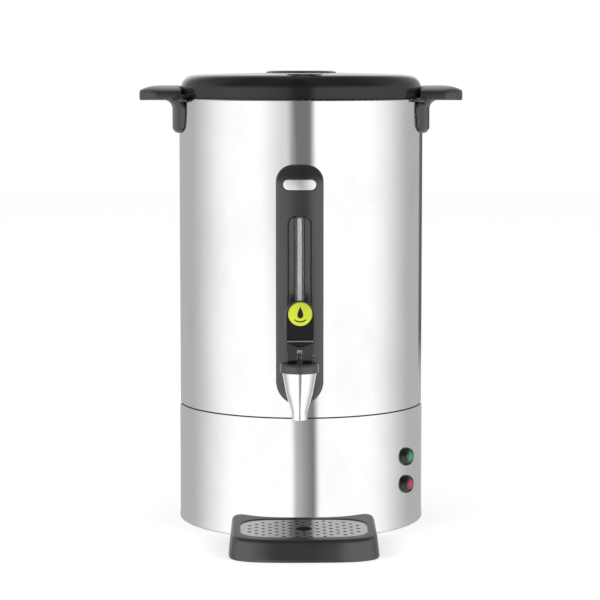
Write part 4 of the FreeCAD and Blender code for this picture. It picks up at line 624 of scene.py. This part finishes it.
GRIP_REACH = 152.2
GRIP_LOW = 400.1
GRIP_HIGH = 413.9
GRIP_HALF = 35.0
GRIP_CORNER = 19.0
GRIP_FALL = 21.0
CROWN_FLAT = 8.0
CROWN_SIDE = 4.8
CROWN_END = 4.6
CROWN_MOST = 5.2
GRIP_NOSE = 1.6
GRIP_POWER = 7.0
GRIP_CORE = 0.5
LEG_LOW = 369.4
LEG_LENGTH = 22.5
LEG_HALF = 43.5
LEG_TAPER = 4.5
LEG_WALL = 6.2
LEG_FILLET = 8.2
LEG_HIGH = GRIP_LOW - LEG_FILLET
LEG_POWER = 3.0
LEG_CORE = 0.02
FOOT_HIGH = 377.5
FOOT_LENGTH = 8.15
FOOT_DRAWN = 16.0
BEVEL_HIGH = 373.0
BEVEL_LENGTH = 3.6
BEVEL_DEEP = 3.0
SHELF_HALF = 50.5
SHELF_HEIGHT = 400.45
SHELF_DEEP = 3.1
SHELF_THICK = 2.05
SLOT_LOW = 402.2
SLOT_HIGH = 406.6
SLOT_REACH = 125.2
SLOT_END = 1.0
TOP_EDGE = 0.8
HANDLE_BORE = 115.75
HANDLE_COLUMNS = 120


def power_ring(power, count):
    """Shares of a rounded rectangle round a ring, one row a power. Across is the cosine, and thick is what is
    left of one after across to that power, to one over the power."""
    turn = full_turn(count)
    power = np.asarray(power)[:, None]
    across = np.cos(turn) + 0.0 * power
    thick = np.sign(np.sin(turn)) * (1.0 - np.abs(across) ** power) ** (1.0 / power)
    return across, thick


def bore_reach(y, wall=0.0):
    """Reach of the round bore at a distance across, or of a surface a wall outside it."""
    return np.sqrt((HANDLE_BORE + wall) ** 2 - y * y)


def grip_end(y):
    """Reach of the grip's end at a distance across, with its rounded corners."""
    past = np.clip(np.abs(y) - GRIP_HALF + GRIP_CORNER, 0.0, GRIP_CORNER)
    return GRIP_REACH - GRIP_CORNER + np.sqrt(GRIP_CORNER ** 2 - past ** 2)


def handle_top(x, y, end):
    """Height of the grip's top: crowned across and rounded down over its last stretch."""
    past = np.clip((np.abs(y) - CROWN_FLAT) / (GRIP_HALF - CROWN_FLAT), 0.0, 1.0)
    sideways = CROWN_SIDE * past ** 1.8
    endways = CROWN_END * np.clip((x - end + GRIP_FALL) / GRIP_FALL, 0.0, 1.0) ** 2.6
    return GRIP_HIGH - np.minimum(np.hypot(sideways, endways), CROWN_MOST)


def blended(outer, inner, thick, core):
    """Points between two lines: a core line plus a share of the way to the outer line, or, where the share is
    below zero, to the inner line."""
    middle = inner + core[:, None, None] * (outer - inner)
    share = np.abs(thick)[..., None]
    return middle + np.where(thick[..., None] > 0.0, outer - middle, inner - middle) * share


def leg_rings():
    """Rings up the leg, which narrows downwards by a power; its foot is drawn in round and bevelled."""
    rise = np.array((0.0, 0.0, 0.05, 0.25, 0.6, 1.2, 2.0, 3.0, 4.2, 5.6, 7.2, 9.0, 11.0, 13.5, 16.0, 19.0,
                     LEG_LENGTH))
    pinch = np.ones(len(rise))
    pinch[:4] = 0.0, 0.55, 0.8, 0.94
    z = (LEG_LOW + rise)[:, None]
    half = LEG_HALF - LEG_TAPER * ((LEG_HIGH - z) / LEG_LENGTH).clip(0.0) ** 1.5
    half = half - FOOT_DRAWN * (1.0 - np.sqrt(1.0 - np.clip((FOOT_HIGH - z) / FOOT_LENGTH, 0.0, 1.0) ** 2))
    wall = LEG_WALL - BEVEL_DEEP * np.clip((BEVEL_HIGH - z) / BEVEL_LENGTH, 0.0, 1.0)
    across, thick = power_ring(np.full(len(rise), LEG_POWER), HANDLE_COLUMNS)
    y = across * half
    outer, inner = points_of(bore_reach(y, wall), y, z), points_of(bore_reach(y), y, z)
    return blended(outer, inner, thick * pinch[:, None], np.full(len(rise), LEG_CORE))


def fillet_rings():
    """Rings round the fillet from leg to grip. The outer line is the fillet. The inner line goes by its keys
    up the bore, into the lug's slot and out of it on one half of the handle, and over the top's edge."""
    keys = np.array((0.0, 0.16, 0.28, 0.38, 0.48, 0.62, 0.72, 1.0))
    step = rising(4, np.linspace(0.0, 1.0, 26), (keys + 0.0001).clip(0.0, 1.0), keys)[1:]
    power = LEG_POWER + (GRIP_POWER - LEG_POWER) * smooth_step(step, 0.0, 0.5)
    across, thick = power_ring(power, HANDLE_COLUMNS)
    y = across * (LEG_HALF - (LEG_HALF - GRIP_HALF) * smooth_step(step, 0.0, 0.35))[:, None]
    start = bore_reach(y, LEG_WALL) + LEG_FILLET
    bend = (step * math.pi / 2.0)[:, None]
    outer = points_of(start - LEG_FILLET * np.cos(bend), y, LEG_HIGH + LEG_FILLET * np.sin(bend))
    top = handle_top(start, y, grip_end(y))
    bore = bore_reach(y)
    slot = bore + np.where(y > SLOT_END, np.sqrt(SLOT_REACH ** 2 - y * y) - bore, 0.0)
    ways = np.stack((bore, bore, slot, slot, bore, bore, bore + TOP_EDGE, start))
    heights = np.stack(np.broadcast_arrays(
        LEG_HIGH, SLOT_LOW, SLOT_LOW, SLOT_HIGH, SLOT_HIGH, top - TOP_EDGE, top, top))
    place = np.searchsorted(keys, step, side="left").clip(1, len(keys) - 1)
    part = ((step - keys[place - 1]) / (keys[place] - keys[place - 1]))[:, None]
    row = np.arange(len(step))
    inner_x = ways[place - 1, row] * (1.0 - part) + ways[place, row] * part
    inner_z = heights[place - 1, row] * (1.0 - part) + heights[place, row] * part
    core = LEG_CORE + (GRIP_CORE - LEG_CORE) * smooth_step(step, 0.0, 0.3)
    return blended(outer, points_of(inner_x, y, inner_z), thick, core)


def grip_rings():
    """Rings out along the grip, drawn in to a rounded nose by a fourth power."""
    run = np.concatenate((np.linspace(0.0, 1.0, 14)[1:-1], np.ones(7)))
    nose = np.concatenate((np.zeros(12), (0.0, 0.5, 0.75, 0.9, 0.97, 1.0, 1.0)))
    pinch = np.concatenate(((1.0 - nose[:-1] ** 4) ** 0.25, (0.0,)))
    pinch[-2] = 0.4
    across, thick = power_ring(np.full(len(run), GRIP_POWER), HANDLE_COLUMNS)
    y = across * GRIP_HALF
    start, end = bore_reach(y, LEG_WALL) + LEG_FILLET, grip_end(y)
    x = start + (end - GRIP_NOSE - start) * run[:, None] + GRIP_NOSE * nose[:, None]
    outer, inner = points_of(x, y, GRIP_LOW), points_of(x, y, handle_top(x, y, end))
    return blended(outer, inner, thick * pinch[:, None], np.full(len(run), GRIP_CORE))


def shelf_rings():
    """A flat bar carried round the tank's rim under the lug, rounded at its ends."""
    reach = math.asin(SHELF_HALF / HANDLE_BORE)
    run = np.sin(np.linspace(-math.pi / 2.0, math.pi / 2.0, 40))
    pinch = np.sqrt(np.clip(1.0 - run ** 40, 0.0, 1.0))[:, None]
    across, thick = power_ring(np.full(len(run), 6.0), 28)
    radius = HANDLE_BORE + SHELF_DEEP + across * SHELF_DEEP * pinch
    angle = (run * reach)[:, None]
    height = SHELF_HEIGHT + thick * SHELF_THICK * pinch
    return points_of(radius * np.cos(angle), radius * np.sin(angle), height)


def handles():
    """Each handle is a shell of rings up the leg, round the fillet and out along the grip, and a shelf."""
    shell = np.concatenate((leg_rings(), fillet_rings(), grip_rings()))
    for side, sign in (("right", 1.0), ("left", -1.0)):
        half_turn = np.array((sign, sign, 1.0))
        build(f"handle_{side}_shell", shell * half_turn, "urn", "black_moulding", (f"handle_{side}",),
              material=HANDLE_FINISH)
        build(f"handle_{side}_shelf", shelf_rings() * half_turn, "urn", "black_moulding",
              material=HANDLE_FINISH)


# Drip tray, in millimetres: made square to the urn, then turned a little about its axis

TRAY_HALF = 67.0
TRAY_DRAFT = 2.3
TRAY_FRONT = 213.0
TRAY_BOW = 3.5
TRAY_HOLLOW = 119.9
HORN_HALF = 60.0
HORN_DEEP = 14.5
TRAY_HIGH = 23.1
TRAY_SLOPE = 0.037
TRAY_MIDDLE = 164.0
TRAY_ROUND = 3.0
TRAY_TURNED = math.radians(1.4)
FRONT_POWER = 5.2
BACK_POWER = 11.0
OPENING_HALF = 56.6
OPENING_DEEP = 33.6
OPENING_POWER = 3.8
OPENING_ROUND = 0.7
LEDGE_WIDTH = 2.6
LEDGE_SUNK = 0.85
PAN_FLOOR = 3.0
SHADE_ASIDE = -4.0
SHADE_SUNK = 0.4
GRID_SUNK = 1.3
GRID_GAP = 0.35
GRID_HALF_THICK = 0.4
DRAIN_ACROSS = 6.05
DRAIN_ALONG = 5.65
DRAIN_RADIUS = 1.75
MIDDLE_RADIUS = 7.5
MIDDLE_CLEAR = 10.5
DRAIN_SIDE_EDGE = 5.4
DRAIN_FRONT_EDGE = 4.4
DRAIN_WALL_MOST = 0.0013


def tray_reach(turn):
    """Reach of the tray's outline from its middle: bowed front, straight sides, hollow back round the urn."""
    sin, cos = np.sin(turn), np.cos(turn)
    ahead, back = np.maximum(-cos, 1e-6), np.maximum(cos, 1e-6)
    side = TRAY_HALF / np.maximum(np.abs(sin), 1e-6)
    front = TRAY_FRONT - TRAY_MIDDLE
    share = np.clip(np.minimum(front / ahead, side) * np.abs(sin) / TRAY_HALF, 0.0, 1.0)
    front = (front - TRAY_BOW * share ** 2) / ahead
    hollow = (TRAY_MIDDLE - TRAY_HOLLOW) / back
    for _ in range(12):
        share = np.clip(hollow * np.abs(sin) / HORN_HALF, 0.0, 1.0)
        hollow = 0.5 * hollow + 0.5 * (TRAY_MIDDLE - TRAY_HOLLOW + HORN_DEEP * share ** 4) / back
    fore = (side ** -FRONT_POWER + front ** -FRONT_POWER) ** (-1.0 / FRONT_POWER)
    rear = (side ** -BACK_POWER + hollow ** -BACK_POWER) ** (-1.0 / BACK_POWER)
    return np.where(cos < 0.0, fore, rear)


def opening_reach(turn, grow=0.0):
    """Reach of the opening's outline: a rounded rectangle from a power of across and along."""
    across = np.abs(np.sin(turn)) / (OPENING_HALF + grow)
    along = np.abs(np.cos(turn)) / (OPENING_DEEP + grow)
    return (across ** OPENING_POWER + along ** OPENING_POWER) ** (-1.0 / OPENING_POWER)


def tray_place(reach, turn, height, on_slope):
    """Rings by reach and direction from the tray's middle, with heights from the floor or the sloping top."""
    x, y = reach * np.sin(turn), reach * np.cos(turn) - TRAY_MIDDLE
    z = height + on_slope * (TRAY_HIGH + TRAY_SLOPE * (y + TANK_RADIUS))
    cos, sin = math.cos(TRAY_TURNED), math.sin(TRAY_TURNED)
    return points_of(x * cos - y * sin, x * sin + y * cos, z)


def tray_shell():
    """Rings from under the tray up its drafted wall, over the rounded edge and top, down into the pan. Inside
    the opening its material is a painted shade: the pan drawn dark where it lies in shade."""
    turn = full_turn(288)
    outer, opening = tray_reach(turn)[None], opening_reach(turn)[None]
    rise = np.linspace(0.0, 1.0, 8)[:-1, None]
    bend = quarter(9)[1:, None]
    inside = quarter(6)[::-1, None]
    rounded = outer - TRAY_DRAFT - TRAY_ROUND * (1.0 - np.cos(bend))
    edge = opening + OPENING_ROUND - OPENING_ROUND * np.cos(inside)
    top = rounded[-1] + (edge[0] - rounded[-1]) * np.linspace(0.0, 1.0, 6)[1:-1, None]
    ledge = -GRID_SUNK - LEDGE_SUNK
    inner = opening - LEDGE_WIDTH
    under = ((np.array((0.0, 0.6))[:, None] * outer, 0.0, 0.0), (outer - 1.0, 0.0, 0.0),
             (outer - 0.3, 0.3, 0.0))
    wall = (outer - TRAY_DRAFT * rise, rise * (TRAY_HIGH - TRAY_ROUND) + (1.0 - rise) * 1.0, 0.0)
    over = ((rounded, TRAY_ROUND * (np.sin(bend) - 1.0), 1.0), (top, 0.0, 1.0),
            (edge, OPENING_ROUND * (np.sin(inside) - 1.0), 1.0))
    pan = ((opening, ledge, 1.0), (inner, ledge, 1.0), (inner, PAN_FLOOR, 0.0),
           (0.0 * inner, PAN_FLOOR, 0.0))
    points = np.concatenate([tray_place(reach, turn, height, on_slope)
                             for reach, height, on_slope in (*under, wall, *over, *pan)])
    wall_rows = slice(4, 4 + len(rise))
    slope = TRAY_SLOPE * (points[wall_rows, :, 1] + TANK_RADIUS)
    points[wall_rows, :, 2] += slope * (points[wall_rows, :, 2] / TRAY_HIGH)
    shell = build("tray_shell", points, "tray", "black_moulding", ("drip_tray",), crease=50.0)
    # Faces in the pan under the grid take the painted hole shade.
    shell.data.materials.append(PAINTED_HOLE_SHADE)
    for face in shell.data.polygons:
        x, y, z = face.center / MM
        across = abs(x - SHADE_ASIDE) / OPENING_HALF
        along = abs(y + TRAY_MIDDLE) / OPENING_DEEP
        within = across ** OPENING_POWER + along ** OPENING_POWER < 1.0
        below = z < TRAY_HIGH - GRID_SUNK - SHADE_SUNK - TRAY_SLOPE * (-y - TANK_RADIUS)
        face.material_index = int(within and below and z > 1.0)
    shell.visible_glossy = False


def add_loop(curve, x, y):
    """One closed outline of a flat curve."""
    spline = curve.splines.new("POLY")
    spline.points.add(len(x) - 1)
    spline.points.foreach_set("co", points_of(x * MM, y * MM, 0.0, 1.0).ravel())
    spline.use_cyclic_u = True


def drain_wall(face):
    """One, the painted hole shade, for a face that is upright and no wider than a drain hole's side, else
    nought.
    """
    first = face.verts[0].co
    reach = max(math.hypot(corner.co.x - first.x, corner.co.y - first.y) for corner in face.verts)
    return int(abs(face.normal.z) < 0.5 and reach < DRAIN_WALL_MOST)


def grid_sheet():
    """Sheet with staggered drain holes and a large one in its middle: a filled outline with a thickness."""
    flat = bpy.data.curves.new("grid_outline", "CURVE")
    flat.dimensions, flat.fill_mode, flat.extrude = "2D", "BOTH", GRID_HALF_THICK * MM
    flat.bevel_depth, flat.bevel_resolution = 0.0, 0
    turn, small, large = full_turn(180), full_turn(12), full_turn(48)
    reach = opening_reach(turn, -GRID_GAP)
    add_loop(flat, reach * np.sin(turn), reach * np.cos(turn))
    for column in range(-8, 9):
        for step in range(-5, 6):
            x, y = column * DRAIN_ACROSS, step * DRAIN_ALONG
            clear_of_middle = math.hypot(x, y) >= MIDDLE_CLEAR
            aside = abs(x) / (OPENING_HALF - DRAIN_SIDE_EDGE)
            ahead = abs(y) / (OPENING_DEEP - DRAIN_FRONT_EDGE)
            if (column + step) % 2 == 0 and clear_of_middle and aside ** 3.0 + ahead ** 3.0 <= 1.0:
                add_loop(flat, x + DRAIN_RADIUS * np.cos(small), y + DRAIN_RADIUS * np.sin(small))
    add_loop(flat, MIDDLE_RADIUS * np.cos(large), MIDDLE_RADIUS * np.sin(large))
    holder = bpy.data.objects.new("grid_outline", flat)
    mesh = bpy.data.meshes.new_from_object(holder)
    bpy.data.objects.remove(holder)
    mesh.name = "grid_sheet"
    mesh.materials.clear()
    mesh.materials.append(FINISHES["grid_steel"])
    # The second material is a painted shade for the drain holes' walls.
    mesh.materials.append(PAINTED_HOLE_SHADE)
    corners = np.empty(len(mesh.vertices) * 3)
    mesh.vertices.foreach_get("co", corners)
    x, y, z = corners.reshape(-1, 3).T / MM
    placed = tray_place(np.hypot(x, y), np.arctan2(x, y), z - GRID_SUNK, 1.0)
    mesh.vertices.foreach_set("co", (placed * MM).ravel())
    merge(mesh, drain_wall)
    piece = shown("grid_sheet", mesh)
    piece.visible_glossy = False
    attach(piece, "grid")
    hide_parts("drip_grid")


# Lamps, in millimetres

LAMP_ANGLE = math.radians(58.4)
LAMP_SEAT = 116.2
BULGE_MIDDLE = 6.1
BULGE_WIDTH = 2.5
BULGE_HIGH = 4.3
LENS_RADIUS = 6.05
LENS_FOOT = 3.9
LENS_RISE = 2.4


def lamp_rings(profile, height):
    """Rings of a profile (radius, rise) turned about the lamp's axis, which points out of the skirt."""
    turn = full_turn(72)
    profile = np.asarray(profile, float)
    radius, reach = profile[:, :1], LAMP_SEAT + profile[:, 1:]
    across, up = radius * np.cos(turn), radius * np.sin(turn)
    x = reach * math.sin(LAMP_ANGLE) + across * math.cos(LAMP_ANGLE)
    y = -reach * math.cos(LAMP_ANGLE) + across * math.sin(LAMP_ANGLE)
    return points_of(x, y, height + up)


def lamps():
    """Domed black bezels and low domed lenses; each corner of a lens keeps its share of the radius."""
    swell = np.radians(np.linspace(0.0, 78.0, 10))
    bulge = points_of(BULGE_MIDDLE + BULGE_WIDTH * np.cos(swell), 0.4 + BULGE_HIGH * np.sin(swell))
    bezel = np.concatenate(([(0.0, -0.4), (8.5, -0.4), (8.6, 0.2)], bulge,
                            [(6.35, 4.45), (6.2, 3.9), (6.2, 2.5), (0.0, 2.5)]))
    share = np.linspace(1.0, 0.0, 10)
    dome = points_of(LENS_RADIUS * share, LENS_FOOT + LENS_RISE * (1.0 - share ** 2.4))
    dome = np.concatenate(([(0.0, 2.6), (LENS_RADIUS, 2.6)], dome))
    for name, height in (("green", 68.0), ("red", 41.9)):
        build(f"{name}_bezel", lamp_rings(bezel, height), "urn", "black_gloss", (f"{name}_lamp_body",))
        piece = build(f"{name}_dome", lamp_rings(dome, height), "urn", f"{name}_lens",
                      (f"{name}_lamp_lens",))
        corners = np.empty(len(piece.data.vertices) * 3)
        piece.data.vertices.foreach_get("co", corners)
        x, y, z = corners.reshape(-1, 3).T / MM
        across = x * math.cos(LAMP_ANGLE) + y * math.sin(LAMP_ANGLE)
        # This share feeds the lens's painted rim shade.
        reach = piece.data.attributes.new("reach", "FLOAT", "POINT")
        reach.data.foreach_set("value", np.hypot(across, z - height) / LENS_RADIUS)


level_cover()
bare_plate()
gauge_inside()
lever_button()
disc_print()
lever_inlay()
lever_trim()
valve_coil()
handles()
tray_shell()
grid_sheet()
lamps()


# Studio, in metres and degrees

AMBIENT = 0.72
FLOOR_HALF = 6.0
FLOOR_GLOW = 0.42


def studio_room():
    """White to the camera. Gloss sees bright sides, a grey card round the camera, a dark post behind, and
    less light the higher it looks. Each is an S-curve of the turn from the camera's side and of the rise."""
    world = bpy.data.worlds.new("studio")
    bpy.context.scene.world = world
    world.use_nodes = True
    sheet = Sheet(world.node_tree)
    background = world.node_tree.nodes["Background"]
    way = sheet.add("ShaderNodeSeparateXYZ", sheet.add("ShaderNodeTexCoord").outputs["Generated"]).outputs
    turn = sheet.math("DEGREES", sheet.math("ARCTAN2", way["X"], sheet.times(way["Y"], -1.0)))
    rise = sheet.math("DEGREES", sheet.math("ARCSINE", way["Z"]))
    off = sheet.math("ABSOLUTE", turn)
    low = sheet.smooth(rise, -3.0, -10.0)
    sides = sheet.smooth(off, 62.0, 128.0, 1.13, 0.47)
    across = sheet.math("SUBTRACT", turn, sheet.smooth(rise, -2.0, -11.0, 0.0, 4.2))
    edge = sheet.smooth(across, 7.5, 15.0, 1.0, 0.0)
    left = sheet.times(sheet.smooth(across, -42.0, -12.0, 0.0, 0.34), edge)
    left = sheet.times(left, sheet.rest(low))
    upper_card = sheet.times(sheet.smooth(across, -14.5, -4.0), sheet.rest(low))
    lower_card = sheet.times(sheet.smooth(across, -13.0, -7.5), low)
    card = sheet.times(sheet.math("ADD", upper_card, lower_card), edge)
    fall = sheet.add("ShaderNodeMapRange", across, -12.0, 8.0, 0.44, 0.0).outputs[0]
    card_level = sheet.math("MULTIPLY_ADD", fall, low, 0.19)
    lit = sheet.times(sides, sheet.rest(left))
    kept = sheet.times(lit, sheet.rest(card))
    lit = sheet.math("ADD", kept, sheet.times(card, card_level))
    post = sheet.times(sheet.smooth(turn, 148.0, 155.0), sheet.smooth(turn, 166.0, 172.0, 1.0, 0.0))
    post = sheet.times(post, sheet.smooth(rise, -8.0, -6.5, 0.0, 0.75))
    lit = sheet.times(lit, sheet.rest(post))
    behind = sheet.times(sheet.smooth(off, 140.0, 168.0), sheet.smooth(rise, 1.0, 4.0))
    lit = sheet.math("MULTIPLY_ADD", behind, 0.60, lit)
    ahead = sheet.smooth(off, 70.0, 115.0, 1.0, 0.0)
    above = sheet.times(ahead, sheet.smooth(rise, 1.0, 27.0, 1.0, 0.14))
    beyond = sheet.rest(ahead)
    beyond = sheet.times(beyond, sheet.smooth(rise, 12.0, 70.0, 1.0, 0.30))
    lit = sheet.times(lit, sheet.math("ADD", above, beyond))
    path = sheet.add("ShaderNodeLightPath").outputs
    mirrored = sheet.math("ADD", path["Is Glossy Ray"], path["Is Transmission Ray"], clamp=True)
    seen = sheet.add("ShaderNodeMapRange", path["Is Camera Ray"], 0.0, 1.0, AMBIENT, 1.0).outputs[0]
    gloss = sheet.times(mirrored, sheet.math("SUBTRACT", lit, seen))
    sheet.feed(background.inputs["Color"], (1.0, 1.0, 1.0, 1.0))
    sheet.feed(background.inputs["Strength"], sheet.math("ADD", seen, gloss))


def soft_light(name, power, size, place, aim):
    """A square soft box at a place, turned to a point; it lights, and shows in no gloss."""
    lamp = bpy.data.lights.new(name, "AREA")
    lamp.shape = "SQUARE"
    lamp.size = size
    lamp.energy = power
    box = bpy.data.objects.new(name, lamp)
    bpy.context.scene.collection.objects.link(box)
    box.location = place
    way = np.array(aim) - np.array(place)
    flat = math.hypot(way[0], way[1])
    box.rotation_euler = (math.atan2(flat, -way[2]), 0.0, math.atan2(-way[0], way[1]))
    box.visible_glossy = False
    box.visible_camera = False


def studio_floor():
    """A pale floor that reads as white to the camera, keeps the shadow, and lets gloss see the room."""
    corners = [(x * FLOOR_HALF, y * FLOOR_HALF, 0.0) for x, y in ((-1, -1), (1, -1), (1, 1), (-1, 1))]
    mesh = bpy.data.meshes.new("floor")
    mesh.from_pydata(corners, [], [(0, 1, 2, 3)])
    floor = shown("floor", mesh)
    white = (1.0, 1.0, 1.0, 1.0)
    material, sheet, shader = finish("floor_paper", (0.80, 0.80, 0.80), 0.9, Emission_Color=white)
    path = sheet.add("ShaderNodeLightPath").outputs
    sheet.feed(shader.inputs["Emission Strength"], sheet.times(path["Is Camera Ray"], FLOOR_GLOW))
    ghost = sheet.add("ShaderNodeBsdfTransparent")
    mix = sheet.add("ShaderNodeMixShader", path["Is Glossy Ray"], shader.outputs[0], ghost.outputs[0])
    sheet.feed(material.node_tree.nodes["Material Output"].inputs["Surface"], mix.outputs[0])
    mesh.materials.append(material)


def photo_camera():
    """The photo's view: about two metres in front, a little above the lid's height, turned down a little."""
    distance, height, turned_by, dip, aside = 2.10358, 0.42239, 0.5, 5.79, 0.0247
    data = bpy.data.cameras.new("camera")
    data.sensor_width = 36.0
    data.lens = 132.34
    data.clip_start = 0.05
    camera = bpy.data.objects.new("camera", data)
    bpy.context.scene.collection.objects.link(camera)
    swing = math.radians(turned_by)
    camera.location = (distance * math.sin(swing), -distance * math.cos(swing), height)
    camera.rotation_euler = (math.radians(90.0 - dip), 0.0, math.radians(turned_by + aside))
    bpy.context.scene.camera = camera


photo_camera()
studio_room()
studio_floor()
soft_light("left_box", 16.0, 1.4, (-1.9, -1.3, 1.5), (0.0, 0.0, 0.2))
soft_light("right_box", 12.0, 1.4, (1.9, -1.1, 1.4), (0.0, 0.0, 0.2))
bpy.context.scene.view_settings.view_transform = "Standard"
